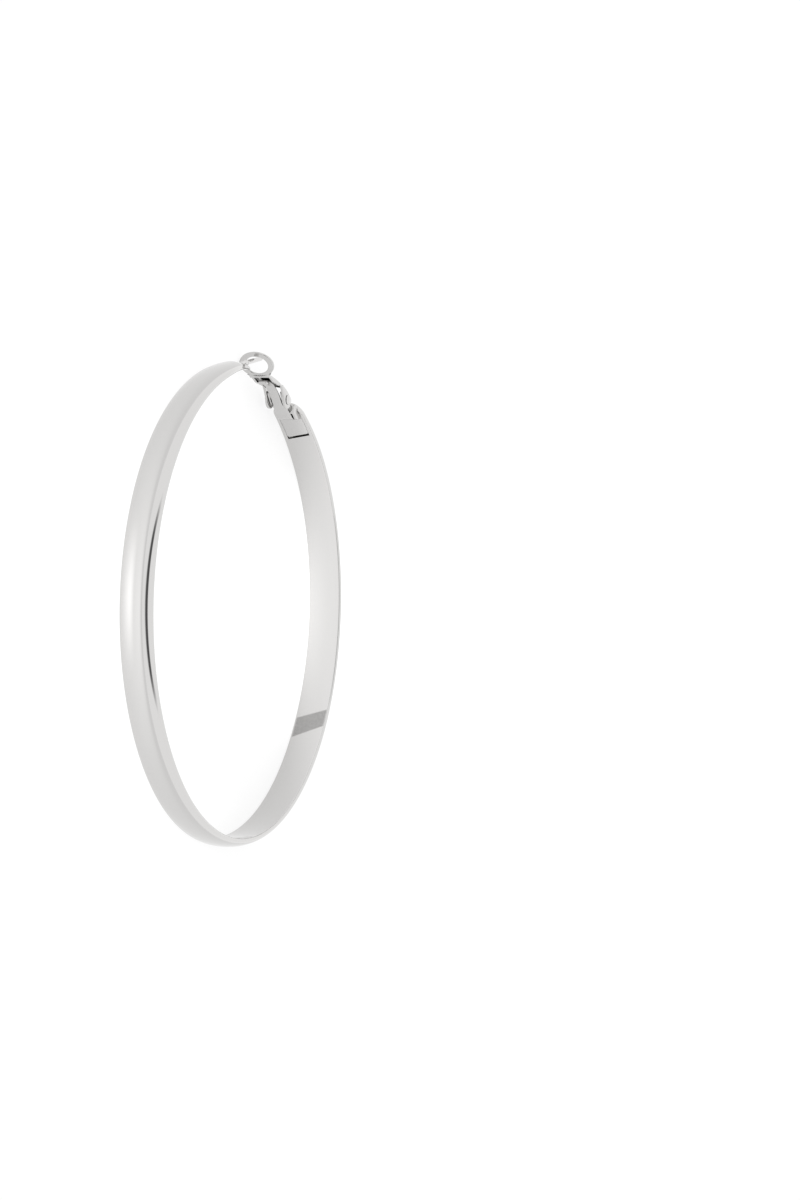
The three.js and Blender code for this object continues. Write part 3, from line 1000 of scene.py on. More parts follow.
    def post_surface(self) -> Surface:
        """The straight post: a round bar with a ball end and a little solder at the band's tip.

        Its radius is r + solder * exp(-(d / spread)^2), with d measured from the place where
        the solder is thickest, and sqrt(r^2 - (r - e)^2) at e before its end, for e under r.

        Returns:
            The closed surface.
        """
        layout, radius = self.layout, self.post_diameter / 2
        from_shell = np.array([self.arc - self.post_root])
        middle = self.thickness * self.height_share(from_shell) / 2
        angle = np.array([layout.tip_angle + self.post_root / layout.radius_inner])
        root = layout.on_hoop(angle, self.inner_radius(from_shell) + middle, np.zeros(1))[0]
        crossing = layout.to_part(layout.on_loop(self.post_above_centre))
        length = float(np.linalg.norm(crossing - root)) + self.post_beyond
        heading = unit(crossing - root)
        ball = 1.0 - np.cos(np.linspace(0.0, math.pi / 2, 10))
        along = np.concatenate([
            np.linspace(0.0, length - radius, 60, endpoint=False),
            length - radius * ball[::-1]])
        to_end = np.clip((length - along) / radius, 0.0, 1.0)
        smallest = 1e-4
        thick = radius * np.sqrt(1.0 - (1.0 - to_end) ** 2) + smallest
        from_solder = along - self.post_root + self.solder_inside
        thick = thick + self.solder * np.exp(-(from_solder / self.solder_spread) ** 2)
        turn = np.linspace(0.0, 2 * math.pi, 32, endpoint=False)
        section = thick[:, None, None] * np.stack([np.cos(turn), np.sin(turn)], axis=-1)
        side = np.broadcast_to(np.array([0.0, 0.0, 1.0]), (len(along), 3))
        upward = np.cross(heading, side)
        return Surface(sweep(root + along[:, None] * heading, side, upward, section))

    def build(self) -> list[bpy.types.Object]:
        """Makes the band and the post.

        Returns:
            The two objects.
        """
        shell = build_piece(
            "band_shell", [self.shell_surface()], MIRROR_STEEL, Body.HOOP, Slot.BAND)
        post = build_piece("ear_post", [self.post_surface()], WIRE_STEEL, Body.HOOP, Slot.BAND)
        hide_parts("hoop_band")
        return [shell, post]


@dataclass
class Clasp:
    """The plate with its ears and spring tongue, the moving loop, and the rivet.

    The tongue is cut from the saddle, a low raised part of the plate, and bows over the rivet
    to a rolled tip under the arm. Places along the clasp are distances from the rivet's axis.

    Attributes:
        layout: The hoop's layout.
        plate_thickness: Thickness of the plate.
        plate_width: Its width.
        plate_end: Where it starts, on the rivet's side.
        plate_length: Where it ends.
        plate_corner: Radius of its far corners.
        plate_edge: Rounding of its far end's edge.
        plate_slant: Length over which its rings slant to the joint line.
        joint_skew: How far askew its far end is over its width.
        rivet_diameter: The rivet's shank.
        rivet_head_diameter: The rivet's heads.
        rivet_head_height: Height of these low domes.
        ear_radius: Radius of an ear round the rivet.
        ear_nose: Place of the ear's nose before the rivet, as a share of that radius.
        ear_nose_rise: Height of the nose, as a share of it.
        ear_nose_radius: Radius of the nose, as a share of it.
        ear_inner: Height of an ear's inner side over the middle plane.
        ear_thickness: Thickness of an ear.
        side_clearance: Gap between an ear and its cheek, and under the rivet's head.
        tongue_width: Width of the tongue past the rivet.
        tongue_root_width: Its width at its root.
        tongue_thickness: Its thickness.
        tongue_root: Where it leaves the plate.
        tongue_bow: How far it bows into the hoop.
        tongue_tip: How far its tip reaches past the rivet.
        tongue_roll_diameter: Diameter of its rolled tip.
        tongue_roll_rim: Rounding of the roll's ends.
        tongue_rivet_gap: Gap between the tongue and the rivet.
        saddle_sides: Where the saddle's top ends to either side.
        saddle_foot: Half its width on the plate.
        saddle_start: Where it starts.
        saddle_ramp: Length over which it rises.
        slit_near: The slit's side by the tongue.
        slit_far: The slit's other side.
        slit_start: Where the slit starts.
        slit_end: Where it ends.
        slit_depth: Share of the saddle's height that the slit is cut down.
        slit_wall: Width of the slit's steep walls.
        clip_crest: Height of the arm's crest.
        clip_crest_at: Place of the crest before the rivet.
        clip_web_end: Where the arm's top sheet ends.
        lobe_radius: Radius of a cheek round the rivet.
        lobe_shoulder: Angle where the lobe meets the arm, in degrees.
        lobe_end: Angle where the lobe meets the cheek's lower edge, in degrees.
        lobe_foot: Place of that edge's start, as a share of the clip's reach.
        shoulder_share: Height of the shoulder's bend, as a share of the crest.
        loop_width: Outer width of the oval loop.
        loop_edge: Rounding of the loop's edges.
        hole_width: Width of its hole.
        hole_length: Length of its hole.
        hole_offset: How far the hole lies nearer to the arm.
        neck_lap: How far the neck reaches into the loop.
        neck_fillet: Radius of the curves between the neck and the arm.
        bend: Outer radius of the arm's bent edges.
        inner_bend: Their inner radius.
        rim: Rounding of the sheets' edges.
        plate_rim: Rounding of the plate's long edges.
    """

    layout: HoopLayout
    plate_thickness: float = 0.45
    plate_width: float = 4.1
    plate_length: float = 10.68
    plate_end: float = 2.6
    plate_corner: float = 0.55
    plate_edge: float = 0.07
    plate_slant: float = 5.0
    joint_skew: float = 0.95
    rivet_diameter: float = 0.8
    rivet_head_diameter: float = 1.65
    rivet_head_height: float = 0.28
    ear_radius: float = 0.82
    ear_nose: float = 1.9
    ear_nose_rise: float = 0.45
    ear_nose_radius: float = 0.55
    ear_inner: float = 1.0
    ear_thickness: float = 0.3
    side_clearance: float = 0.07
    tongue_width: float = 1.68
    tongue_root_width: float = 2.5
    tongue_thickness: float = 0.28
    tongue_root: float = 6.4
    tongue_bow: float = 0.95
    tongue_tip: float = 6.95
    tongue_roll_diameter: float = 0.8
    tongue_roll_rim: float = 0.3
    tongue_rivet_gap: float = 0.1
    saddle_sides: tuple[float, float] = (-1.45, 1.93)
    saddle_foot: float = 2.035
    saddle_start: float = 2.3
    saddle_ramp: float = 0.8
    slit_near: float = 1.25
    slit_far: float = 1.53
    slit_start: float = 3.25
    slit_end: float = 5.35
    slit_depth: float = 0.95
    slit_wall: float = 0.03
    clip_crest: float = 1.25
    clip_crest_at: float = 1.6
    clip_web_end: float = 3.1
    lobe_radius: float = 1.5
    lobe_shoulder: float = 32.0
    lobe_end: float = -140.0
    lobe_foot: float = 0.195
    shoulder_share: float = 0.94
    loop_width: float = 6.16
    loop_edge: float = 0.14
    hole_width: float = 4.0
    hole_length: float = 3.4
    hole_offset: float = 0.1
    neck_lap: float = 0.12
    neck_fillet: float = 0.35
    bend: float = 0.3
    inner_bend: float = 0.06
    rim: float = 0.07
    plate_rim: float = 0.015

    @property
    def cheek_inner(self) -> float:
        """Height of a cheek's inner side over the middle plane."""
        return self.ear_inner + self.ear_thickness + self.side_clearance

    @property
    def cheek_outer(self) -> float:
        """Height of a cheek's outer side over the middle plane."""
        return self.cheek_inner + self.layout.clip_sheet

    def inner_face(self, x: np.ndarray) -> np.ndarray:
        """Height of the band's inner face over the rivet's axis: sqrt(R^2 - x^2) - R + inset.

        Args:
            x: Places along the clasp.

        Returns:
            Heights.
        """
        layout = self.layout
        radius = layout.radius_inner
        return np.sqrt(radius ** 2 - np.asarray(x) ** 2) - (radius - layout.rivet_inset)

    def arm_height(self, x: np.ndarray) -> np.ndarray:
        """Height of the arm's outer face: crest - (crest - root) * (from crest / length)^2.

        Args:
            x: Places along the clasp.

        Returns:
            Heights.
        """
        layout = self.layout
        share = (np.asarray(x) + self.clip_crest_at) / (layout.clip_reach - self.clip_crest_at)
        return self.clip_crest - (self.clip_crest - layout.clip_root_height) * share ** 2

    def plate_surface(self) -> Surface:
        """The curved plate: a rounded rectangle carried along the arc and slanted at its end.

        Returns:
            The closed surface in the clasp's frame.
        """
        layout = self.layout
        half = self.plate_width / 2
        ends = 1.0 - np.cos(np.linspace(0.0, math.pi / 2, 7))
        near, far = self.plate_end, self.plate_length
        near_rounding, end_share = 0.05, 0.6
        along = np.concatenate([
            near + near_rounding * ends[:-1],
            np.linspace(near + near_rounding, far - self.plate_corner, 50, endpoint=False),
            far - self.plate_corner * ends[::-1]])
        from_far = np.clip((far - along) / self.plate_corner, 0.0, 1.0)
        half_width = half - self.plate_corner * (1.0 - np.sqrt(1.0 - (1.0 - from_far) ** 2))
        from_edge = np.clip((far - along) / self.plate_edge, 0.0, 1.0)
        rounded = end_share + (1.0 - end_share) * np.sqrt(1.0 - (1.0 - from_edge) ** 2)
        section = rounded_rectangle(
            half_width, self.plate_thickness / 2 * rounded, self.plate_rim)
        across = section[..., 0]
        slant = smooth_ramp(along, far - self.plate_slant, far)[:, None] * self.joint_skew
        place = along[:, None] - slant * across / self.plate_width
        radius = layout.radius_inner + self.plate_thickness / 2 + section[..., 1]
        x = place * radius / layout.radius_inner
        angle = x / radius
        grid = np.stack([
            radius * np.sin(angle), radius * np.cos(angle) - layout.radius_inner
            + layout.rivet_inset, across], axis=-1)
        return Surface(grid)

    def ear_surfaces(self) -> list[Surface]:
        """The two ears: a drop round the rivet with a nose, and a neck back to the plate.

        The drop is the hull of two circles: each point stands at the centre of the circle that
        reaches farther in its direction, plus that circle's radius.

        Returns:
            The closed surfaces in the clasp's frame.
        """
        turn = np.linspace(0.0, 2 * math.pi, 48, endpoint=False)
        heading = np.stack([np.cos(turn), np.sin(turn)], axis=-1)
        centres = self.ear_radius * np.array([[0.0, 0.0], [-self.ear_nose, self.ear_nose_rise]])
        radii = self.ear_radius * np.array([1.0, self.ear_nose_radius])
        reach = centres @ heading.T + radii[:, None]
        chosen = reach.argmax(axis=0)
        drop = centres[chosen] + radii[chosen][:, None] * heading
        level = float(self.inner_face(self.plate_end))
        back = self.plate_end + self.ear_radius
        neck_share = (0.1, 0.8)
        low, high = (level + self.plate_thickness * share for share in neck_share)
        neck = np.array([[0.0, low], [back, low], [back, high], [0.0, high]])
        inner, outer = self.ear_inner, self.ear_inner + self.ear_thickness
        return [
            Solid(outline, *sorted((side * inner, side * outer)), self.rim).surface()
            for side in (1, -1) for outline in (drop, neck)]

    def tongue_line(self, steps: int) -> tuple[np.ndarray, np.ndarray]:
        """The tongue's middle line: a smooth curve through the solids' places.

        Each row of the table is a place on it: x as a share of the root or the tip, and y from
        the height of what it passes there. Each span is a Catmull-Rom cubic: with its
        neighbours p0, p1, p2, p3 and t from 0 to 1 it is p1 + t (p2 - p0) / 2
        + t^2 (2 p0 - 5 p1 + 4 p2 - p3) / 2 + t^3 (3 p1 - p0 - 3 p2 + p3) / 2.

        Args:
            steps: Points on the line.

        Returns:
            Points and unit tangents in the clasp's X and Y.
        """
        thick, root = self.tongue_thickness, self.tongue_root
        under = -(self.rivet_diameter / 2 + self.tongue_rivet_gap + thick / 2)
        crest = self.clip_crest - self.layout.clip_sheet - thick
        tip = self.tongue_tip
        level = float(self.inner_face(root))
        marks = np.array([
            [root * 1.16, float(self.inner_face(root * 1.16)) + thick * 0.9],
            [root * 0.98, level + thick * 0.4],
            [root * 0.73, level - self.tongue_bow * 0.8],
            [root * 0.5, -self.tongue_bow],
            [root * 0.2, under - thick * 0.7],
            [0.0, under],
            [-tip * 0.27, crest * 0.08],
            [-tip * 0.58, crest * 0.68],
            [-tip * 0.76, crest * 0.56],
            [-tip * 0.9, crest * 0.2],
            [-tip, -self.tongue_roll_diameter * 0.3],
        ])
        padded = np.concatenate([
            [2 * marks[0] - marks[1]], marks, [2 * marks[-1] - marks[-2]]])
        at = np.linspace(0.0, len(marks) - 1 - 1e-9, steps)
        span = at.astype(int)
        t = (at - span)[:, None]
        p0, p1, p2, p3 = (padded[span + k] for k in range(4))
        line = (p1 + t * (p2 - p0) / 2 + t ** 2 * (2 * p0 - 5 * p1 + 4 * p2 - p3) / 2
                + t ** 3 * (3 * p1 - p0 - 3 * p2 + p3) / 2)
        return line, unit(np.gradient(line, axis=0))

    def tongue_surfaces(self) -> list[Surface]:
        """The spring tongue, wide at its root and narrow past the rivet, and its rolled tip.

        Returns:
            The closed surfaces in the clasp's frame.
        """
        line, along = self.tongue_line(150)
        wide, narrow = self.tongue_root_width / 2, self.tongue_width / 2
        shoulder = self.lobe_radius / 2
        wide_from = 2.4
        share = smooth_ramp(line[:, 0], shoulder, shoulder * wide_from)
        half = narrow + (wide - narrow) * share
        section = rounded_rectangle(
            half, np.full(len(line), self.tongue_thickness / 2), self.rim)
        path = np.concatenate([line, np.zeros((len(line), 1))], axis=1)
        side = np.broadcast_to(np.array([0.0, 0.0, 1.0]), path.shape)
        upward = np.stack([-along[:, 1], along[:, 0], np.zeros(len(line))], axis=-1)
        radius = self.tongue_roll_diameter / 2
        turn = np.linspace(0.0, 2 * math.pi, 32, endpoint=False)
        rim = np.stack([
            -self.tongue_tip + radius * np.cos(turn), -radius + radius * np.sin(turn)], axis=-1)
        return [Surface(sweep(path, side, upward, section)),
                Solid(rim, -narrow, narrow, self.tongue_roll_rim, 9).surface()]

    def saddle_surface(self) -> Surface:
        """The raised part of the plate that the tongue is cut from, and the slit beside it.

        Its height over the plate is rise(x) * up(z) * down(z), with rise taken from the
        tongue's outer side and soft steps between the foot and the top at either side. The
        slit takes its share slit_depth off that height.

        Returns:
            The closed surface in the clasp's frame.
        """
        line, _ = self.tongue_line(400)
        order = np.argsort(line[:, 0])
        under_root, under_tongue = 1.02, 0.3
        x = np.linspace(self.saddle_start, self.tongue_root * under_root, 80)
        plate = self.inner_face(x)
        top = np.interp(x, line[order, 0], line[order, 1]) - self.tongue_thickness * under_tongue
        edge = 0.1
        rise = np.maximum(plate - top, 0.0) * smooth_ramp(
            x, self.saddle_start - edge, self.saddle_start + self.saddle_ramp)
        left, right = self.saddle_sides
        near, far, wall = self.slit_near, self.slit_far, self.slit_wall
        z = np.concatenate([
            np.linspace(-self.saddle_foot, left, 12), np.linspace(left + edge, near - wall, 16),
            [near, far],
            np.linspace(far + wall, right, 8), np.linspace(right, self.saddle_foot, 7)[1:]])
        shape = (smooth_ramp(z, -self.saddle_foot, left)
                 * (1.0 - smooth_ramp(z, right, self.saddle_foot)))
        inside = (z >= near - SAME) & (z <= far + SAME)
        slit_close = 0.6
        open_x = (smooth_ramp(x, self.slit_start - edge, self.slit_start)
                  * (1.0 - smooth_ramp(x, self.slit_end - slit_close, self.slit_end)))
        height = rise[:, None] * shape[None, :]
        height = height * (1.0 - self.slit_depth * open_x[:, None] * inside[None, :])
        upper = np.stack([
            np.broadcast_to(x[:, None], height.shape), plate[:, None] - height,
            np.broadcast_to(z[None, :], height.shape)], axis=-1)
        lower = upper[:, ::-1].copy()
        lower[..., 1] = plate[:, None] + self.plate_thickness / 2
        return Surface(np.concatenate([upper, lower], axis=1))

    def lower_edge(self, x: np.ndarray) -> np.ndarray:
        """The cheeks' lower edge between the lobe and the loop's root, straight between places.

        Each row of the table is a place on it: x as a share of the clip's reach before the
        rivet, and y as a share of the crest's height.

        Args:
            x: Places along the clasp.

        Returns:
            Heights of the edge.
        """
        shares = np.array([
            [1.0, -0.12], [0.757, -0.12], [0.667, 0.02], [0.5, 0.4], [0.39, 0.62],
            [0.3, 0.29], [self.lobe_foot, -0.22]])
        return np.interp(x, -shares[:, 0] * self.layout.clip_reach, shares[:, 1] * self.clip_crest)

    def arm_surface(self) -> Surface:
        """The arm between its cheeks' legs and the loop: one sheet bent to a low channel.

        Each ring runs up one flange, over the bend, across the top and down the other flange
        outside, then back the same way one sheet's thickness further in.

        Returns:
            The closed surface in the clasp's frame.
        """
        layout = self.layout
        x = np.linspace(-layout.clip_reach, -self.clip_web_end, 70)
        top, low = self.arm_height(x), self.lower_edge(x)
        sheet, outer = layout.clip_sheet, self.cheek_outer
        least, edge = 0.02, 0.05
        low = np.minimum(low, top - sheet - least)
        bend, inner_bend = self.bend, self.inner_bend
        turn = np.linspace(0.0, math.pi / 2, 6)
        corner_z = outer - bend + bend * np.cos(turn)
        inner_z = outer - sheet - inner_bend + inner_bend * np.cos(turn)
        zeros = np.zeros_like(turn)
        rise = bend * np.sin(turn) - bend
        inner_rise = inner_bend * np.sin(turn) - inner_bend - sheet
        z = np.concatenate([
            [outer - edge, outer], corner_z, -corner_z[::-1], [-outer, -outer + edge],
            [-outer + sheet - edge, -outer + sheet], -inner_z, inner_z[::-1],
            [outer - sheet, outer - sheet + edge]])
        from_top = np.concatenate([
            [0, 0], rise, rise[::-1], [0, 0], [0, 0], inner_rise, inner_rise[::-1], [0, 0]])
        at_edge = np.concatenate([
            [1, 1], zeros, zeros, [1, 1], [1, 1], zeros, zeros, [1, 1]]).astype(bool)
        lift = np.concatenate([
            [0.0, edge], zeros, zeros, [edge, 0.0], [0.0, edge], zeros, zeros, [edge, 0.0]])
        y = np.where(at_edge, low[:, None] + lift, top[:, None] + from_top)
        return Surface(np.stack([
            np.broadcast_to(x[:, None], y.shape), y, np.broadcast_to(z, y.shape)], axis=-1))

    def cheek_surfaces(self) -> list[Surface]:
        """The two cheeks: a leg down from the arm and a round lobe on the rivet.

        The shoulder between them is a quadratic Bezier curve,
        (1 - t)^2 * start + 2 t (1 - t) * bend + t^2 * end.

        Returns:
            The closed surfaces in the clasp's frame.
        """
        top_x = np.linspace(-self.clip_web_end, -self.clip_crest_at, 8)
        shoulder = math.radians(self.lobe_shoulder)
        radius = self.lobe_radius
        t = np.linspace(0.0, 1.0, 12)[1:, None]
        start = np.array([-self.clip_crest_at, self.clip_crest])
        bend = np.array([0.0, self.clip_crest * self.shoulder_share])
        end = radius * np.array([math.cos(shoulder), math.sin(shoulder)])
        curve = (1 - t) ** 2 * start + 2 * t * (1 - t) * bend + t ** 2 * end
        turn = np.linspace(shoulder, math.radians(self.lobe_end), 32)[1:]
        lobe = radius * np.stack([np.cos(turn), np.sin(turn)], axis=-1)
        low_x = np.linspace(-self.lobe_foot * self.layout.clip_reach, -self.clip_web_end, 10)
        outline = np.concatenate([
            np.stack([top_x, self.arm_height(top_x)], axis=-1), curve, lobe,
            np.stack([low_x, self.lower_edge(low_x)], axis=-1)])[::-1]
        inner, outer = self.cheek_inner, self.cheek_outer
        return [
            Solid(outline, *sorted((side * inner, side * outer)), self.rim).surface()
            for side in (1, -1)]

    def loop_surfaces(self) -> list[Surface]:
        """The oval loop, a rounded flat bar between two ellipses, and its neck to the arm.

        With t over a full turn the bar's middle lies halfway between the outer ellipse's point
        and the hole's, and it is as wide as they lie apart. The neck's curves are quadratic
        Bezier curves.

        Returns:
            The closed surfaces in the clasp's frame.
        """
        layout = self.layout
        lean = math.radians(layout.loop_tilt)
        away = np.array([-math.cos(lean), math.sin(lean), 0.0])
        across = np.array([0.0, 0.0, 1.0])
        normal = np.array([math.sin(lean), math.cos(lean), 0.0])
        middle = layout.on_loop(0.0)
        turn = np.linspace(0.0, 2 * math.pi, 140, endpoint=False)[:, None]
        outer = (layout.loop_length / 2 * np.cos(turn) * away
                 + self.loop_width / 2 * np.sin(turn) * across)
        inner = ((self.hole_length / 2 * np.cos(turn) - self.hole_offset) * away
                 + self.hole_width / 2 * np.sin(turn) * across)
        half = np.linalg.norm(outer - inner, axis=1) / 2
        section = rounded_rectangle(
            half, np.full(len(half), layout.clip_sheet / 2), self.loop_edge, 6)
        upward = np.broadcast_to(normal, outer.shape)
        ring = sweep(middle + (outer + inner) / 2, unit(outer - inner), upward, section)
        root_share, curve = 0.4, self.neck_fillet
        top = -self.hole_offset - self.hole_length / 2 - self.neck_lap
        bottom = -layout.loop_length / 2 - layout.clip_sheet * root_share
        side = self.cheek_outer
        fillet = np.linspace(0.0, 1.0, 7)[:, None]
        edge = (np.array([bottom, side]) * (1 - fillet) ** 2
                + 2 * fillet * (1 - fillet) * np.array([bottom + curve, side])
                + fillet ** 2 * np.array([bottom + 2 * curve, side + curve]))
        plan = np.concatenate([edge, [[top, side]], [[top, -side]], (edge * [1, -1])[::-1]])[::-1]
        neck = Solid(plan, -layout.clip_sheet / 2, layout.clip_sheet / 2, self.rim).surface().grid
        placed = (middle + neck[..., 0:1] * away + neck[..., 1:2] * across
                  + neck[..., 2:3] * normal)
        return [Surface(ring, closed=True), Surface(placed)]

    def rivet_surface(self) -> Surface:
        """The rivet: a turned profile, two low domes on a plain shank.

        Each head's edge follows head * sqrt(1 - share^2) with share the height in the head.

        Returns:
            The closed surface in the clasp's frame.
        """
        head, shank = self.rivet_head_diameter / 2, self.rivet_diameter / 2
        seat = self.cheek_outer + self.side_clearance
        share = np.sin(np.linspace(0.0, math.pi / 2, 12))
        to_middle, step = 0.999, 0.02
        dome = head * np.sqrt(1.0 - (share * to_middle) ** 2)
        height = np.concatenate([
            -(seat + self.rivet_head_height * share[::-1]),
            [-seat, -seat + step, seat - step, seat],
            seat + self.rivet_head_height * share])
        radius = np.concatenate([dome[::-1], [shank, shank, shank, shank], dome])
        turn = np.linspace(0.0, 2 * math.pi, 40, endpoint=False)
        return Surface(np.stack([
            radius[:, None] * np.cos(turn), radius[:, None] * np.sin(turn),
            np.broadcast_to(height[:, None], (len(height), len(turn)))], axis=-1))

    def build(self) -> list[bpy.types.Object]:
        """Makes the clasp's pieces.

        Returns:
            The objects.
        """
        placed = self.layout.placed
        plate = build_piece(
            "inlaid_plate",
            [placed(s) for s in [
                self.plate_surface(), self.saddle_surface(), *self.ear_surfaces()]],
            PRESSED_STEEL, Body.HOOP, Slot.CLASP)
        tongue = build_piece(
            "spring_tongue", [placed(s) for s in self.tongue_surfaces()],
            PRESSED_STEEL, Body.HOOP, Slot.CLASP)
        loop = build_piece(
            "clasp_loop", [placed(s) for s in [
                *self.loop_surfaces(), self.arm_surface(), *self.cheek_surfaces()]],
            PRESSED_STEEL, Body.LOOP, Slot.CLASP)
        rivet = build_piece(
            "rivet", [placed(self.rivet_surface())], WIRE_STEEL, Body.HOOP, Slot.CLASP)
        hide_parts("clasp_plate")
        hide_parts("loop_clip")
        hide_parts("hinge_rivet")
        return [plate, tongue, loop, rivet]


@dataclass(frozen=True)
class PaintedGlow:
    """A painted pool of light in the light table's emission, along an arc round the hoop's axis.

    Attributes:
        level: Radiance added in its middle.
        radius: Distance from the hoop's axis to its middle, in millimetres.
        half_depth: Where it has faded out to either side of that radius.
        middle: Its middle's Y.
        half_length: Where it has faded out along Y.
        near: True on the camera's side of the hoop, False on the far side.
    """

    level: float
    radius: float
    half_depth: float
    middle: float
    half_length: float
    near: bool


@dataclass
class Studio:
    """A white light table, an evenly bright room, and the camera at the photo's angle.

    Attributes:
        layout: The hoop's layout.
        camera_place: The camera's place in millimetres.
        elevation: How far it looks down, in degrees.
        roll: How far it is turned about its own axis, in degrees.
        lens: Its focal length in millimetres, for a sensor 36 mm wide.
        floor_size: Width of the floor in metres.
        floor_colour: Colour of the table's acrylic sheet.
        floor_glow: Radiance of the table all over.
        side_blend: Half the width over which a painted pool of light fades to the hoop's other side.
        room_strength: Radiance of the room.
        flag_elevation: Height angle of the dark flag's middle, in degrees.
        flag_lift: How much higher it stands at flag_half_width aside.
        flag_half_height: Half the flag's height, in degrees.
        flag_half_width: Half the flag's width, in degrees.
        flag_fade_height: From where to where its height fades, as shares of the half height.
        flag_fade_width: The same for its width.
        flag_level: Share of the room's radiance that is left in the flag.
        painted_glows: The painted pools of light on the table, which the band mirrors as its
            highlights.
    """

    layout: HoopLayout
    camera_place: tuple[float, float, float] = (-758.90, 0.222, 335.18)
    elevation: float = 21.749
    roll: float = 1.1716
    lens: float = 150.17
    floor_size: float = 6.0
    floor_colour: str = "#828282"
    floor_glow: float = 0.77
    side_blend: float = 14.0
    room_strength: float = 1.2
    flag_elevation: float = 19.5
    flag_lift: float = 19.0
    flag_half_height: float = 7.6
    flag_half_width: float = 50.0
    flag_fade_height: tuple[float, float] = (0.55, 1.45)
    flag_fade_width: tuple[float, float] = (0.6, 1.3)
    flag_level: float = 0.1
    painted_glows: tuple[PaintedGlow, ...] = (
        PaintedGlow(level=0.38, radius=60.0, half_depth=50.0, middle=-1.0, half_length=60.0, near=True),
        PaintedGlow(level=0.48, radius=43.0, half_depth=4.2, middle=0.5, half_length=16.0, near=True),
        PaintedGlow(level=0.38, radius=40.0, half_depth=50.0, middle=-1.5, half_length=25.0, near=False),
        PaintedGlow(level=0.17, radius=39.0, half_depth=10.0, middle=-1.5, half_length=32.0, near=False),
    )

    def camera(self) -> None:
        """Places the camera: it looks down on the lying hoop, its top towards +Y."""
        tilt = math.radians(self.elevation)
        back = Vector((-math.cos(tilt), 0.0, math.sin(tilt)))
        right = Vector((math.sin(tilt), 0.0, math.cos(tilt)))
        top = Vector((0.0, 1.0, 0.0))
        turn = math.radians(self.roll)
        screen_right = math.cos(turn) * right + math.sin(turn) * top
        screen_up = -math.sin(turn) * right + math.cos(turn) * top
        data = bpy.data.cameras.new("camera")
        data.lens = self.lens
        data.sensor_width = 36.0
        data.clip_start = 0.01
        camera = bpy.data.objects.new("camera", data)
        axes = Matrix((screen_right, screen_up, back)).transposed().to_4x4()
        camera.matrix_world = Matrix.Translation(Vector(self.camera_place) * MM) @ axes
        bpy.context.scene.collection.objects.link(camera)
        bpy.context.scene.camera = camera

    def floor(self) -> bpy.types.Object:
        """A light table under the hoop: matt white acrylic, lit from below and from the room.

        Its emission is brighter in painted pools of light along arcs, which the polished band
        mirrors as its highlights: radiance is floor_glow + sum of level * f(y - middle) * f(r -
        radius), with f the soft step down to 0.

        Returns:
            The floor.
        """
        half = self.floor_size / 2
        mesh = bpy.data.meshes.new("floor")
        mesh.from_pydata(
            [(-half, -half, 0), (half, -half, 0), (half, half, 0), (-half, half, 0)], [],
            [(0, 1, 2, 3)])
        acrylic = bpy.data.materials.new("opal_acrylic_sheet")
        acrylic.use_nodes = True
        tree = acrylic.node_tree
        shader = tree.nodes["Principled BSDF"]
        shader.inputs["Base Color"].default_value = linear_rgba(self.floor_colour)
        shader.inputs["Roughness"].default_value = 0.9
        shader.inputs["Specular IOR Level"].default_value = 0.0
        shader.inputs["Emission Color"].default_value = linear_rgba(WHITE)
        where = add_node(tree, "ShaderNodeTexCoord").outputs["Object"]
        parts = add_node(tree, "ShaderNodeSeparateXYZ", None, {"Vector": where}).outputs
        centre = (float(self.layout.centre[0]) * MM, float(self.layout.centre[1]) * MM, 0.0)
        away = add_node(tree, "ShaderNodeVectorMath", {"operation": "DISTANCE"}, {
            0: where, 1: centre}).outputs["Value"]
        total = self.floor_glow
        # Painted pools of light: brighter emission in arcs round the hoop, for the band's highlights
        for painted_glow in self.painted_glows:
            along = faded(tree, parts["Y"], painted_glow.middle * MM, painted_glow.half_length * MM)
            deep = faded(tree, away, painted_glow.radius * MM, painted_glow.half_depth * MM)
            low_x, high_x = (1.0, 0.0) if painted_glow.near else (0.0, 1.0)
            side = ramp(
                tree, parts["X"], -self.side_blend * MM, self.side_blend * MM, low_x, high_x)
            both = maths(tree, "MULTIPLY", maths(tree, "MULTIPLY", along, deep), side)
            total = maths(tree, "MULTIPLY_ADD", both, painted_glow.level, total)
        tree.links.new(total, shader.inputs["Emission Strength"])
        mesh.materials.append(acrylic)
        floor = bpy.data.objects.new("floor", mesh)
        bpy.context.scene.collection.objects.link(floor)
        return floor

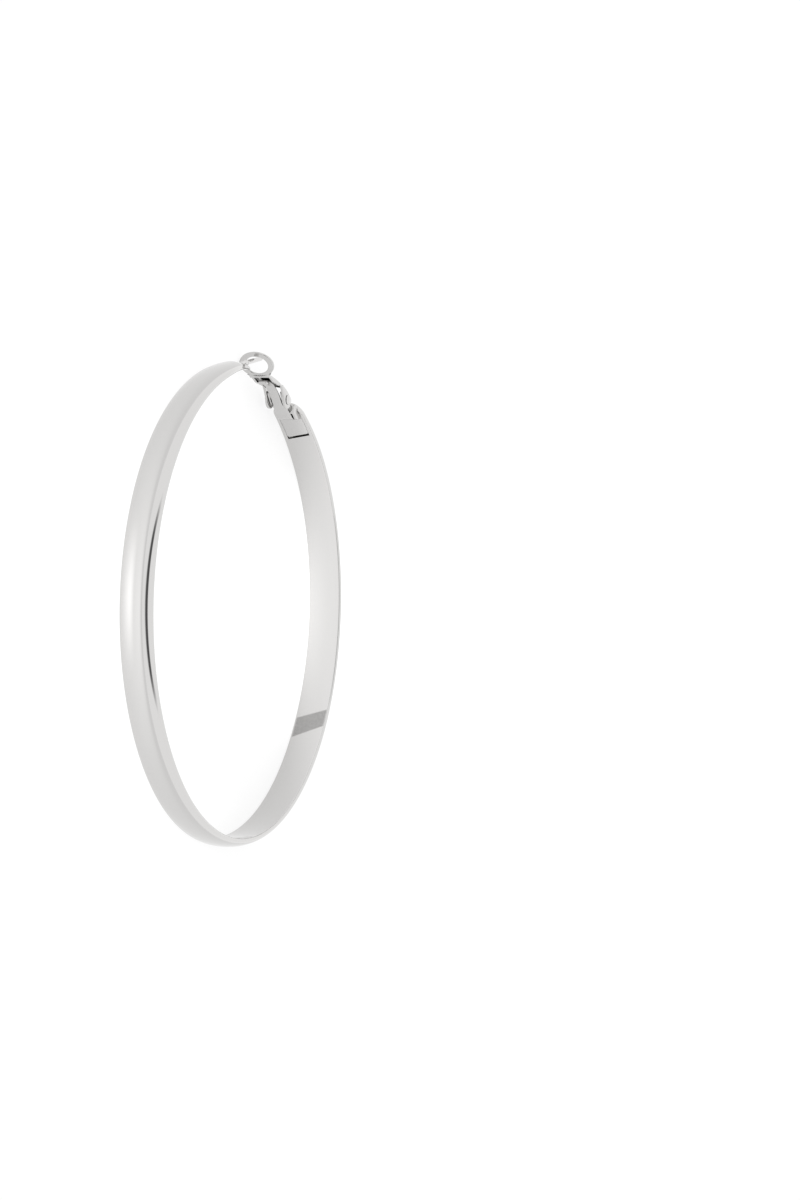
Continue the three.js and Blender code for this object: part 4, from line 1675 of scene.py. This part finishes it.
    def room(self) -> None:
        """The room's even light, with one dark flag that draws the line along the near band.

        The flag is a soft-edged patch of the sky: dark where the direction's height angle is
        near flag_elevation + flag_lift * (compass / flag_half_width)^2 and its compass angle is
        near the camera's side.
        """
        world = bpy.data.worlds.new("soft_studio")
        bpy.context.scene.world = world
        world.use_nodes = True
        tree = world.node_tree
        background = tree.nodes["Background"]
        where = add_node(tree, "ShaderNodeTexCoord").outputs["Generated"]
        parts = add_node(tree, "ShaderNodeSeparateXYZ", None, {"Vector": where}).outputs
        rise = maths(tree, "ARCSINE", parts["Z"])
        towards = maths(tree, "MULTIPLY", parts["X"], -1.0)
        compass = maths(tree, "ABSOLUTE", maths(tree, "ARCTAN2", parts["Y"], towards))
        half_height, half_width = (
            math.radians(half) for half in (self.flag_half_height, self.flag_half_width))
        aside = maths(tree, "POWER", maths(tree, "DIVIDE", compass, half_width), 2.0)
        middle = maths(tree, "MULTIPLY_ADD", aside, math.radians(self.flag_lift),
                       math.radians(self.flag_elevation))
        off_rise = maths(tree, "ABSOLUTE", maths(tree, "SUBTRACT", rise, middle))
        full, none = self.flag_fade_height
        near_rise = ramp(tree, off_rise, half_height * full, half_height * none, 1.0, 0.0)
        full, none = self.flag_fade_width
        near_compass = ramp(tree, compass, half_width * full, half_width * none, 1.0, 0.0)
        flag = maths(tree, "MULTIPLY", near_rise, near_compass)
        level = ramp(
            tree, flag, 0.0, 1.0, self.room_strength, self.room_strength * self.flag_level,
            soft=False)
        background.inputs["Color"].default_value = linear_rgba(WHITE)
        tree.links.new(level, background.inputs["Strength"])

    def build(self) -> None:
        """Makes the floor, the light and the camera."""
        self.floor()
        self.room()
        self.camera()
        scene = bpy.context.scene
        scene.view_settings.view_transform = "Standard"
        scene.view_settings.look = "None"


def main() -> None:
    """Builds the earring and its studio and reports every piece."""
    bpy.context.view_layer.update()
    layout = HoopLayout()
    pieces = [*Band(layout).build(), *Clasp(layout).build()]
    Studio(layout).build()
    for piece in pieces:
        LOG.info("%s: %d faces", piece.name, len(piece.data.polygons))


if __name__ == "__main__":
    main()
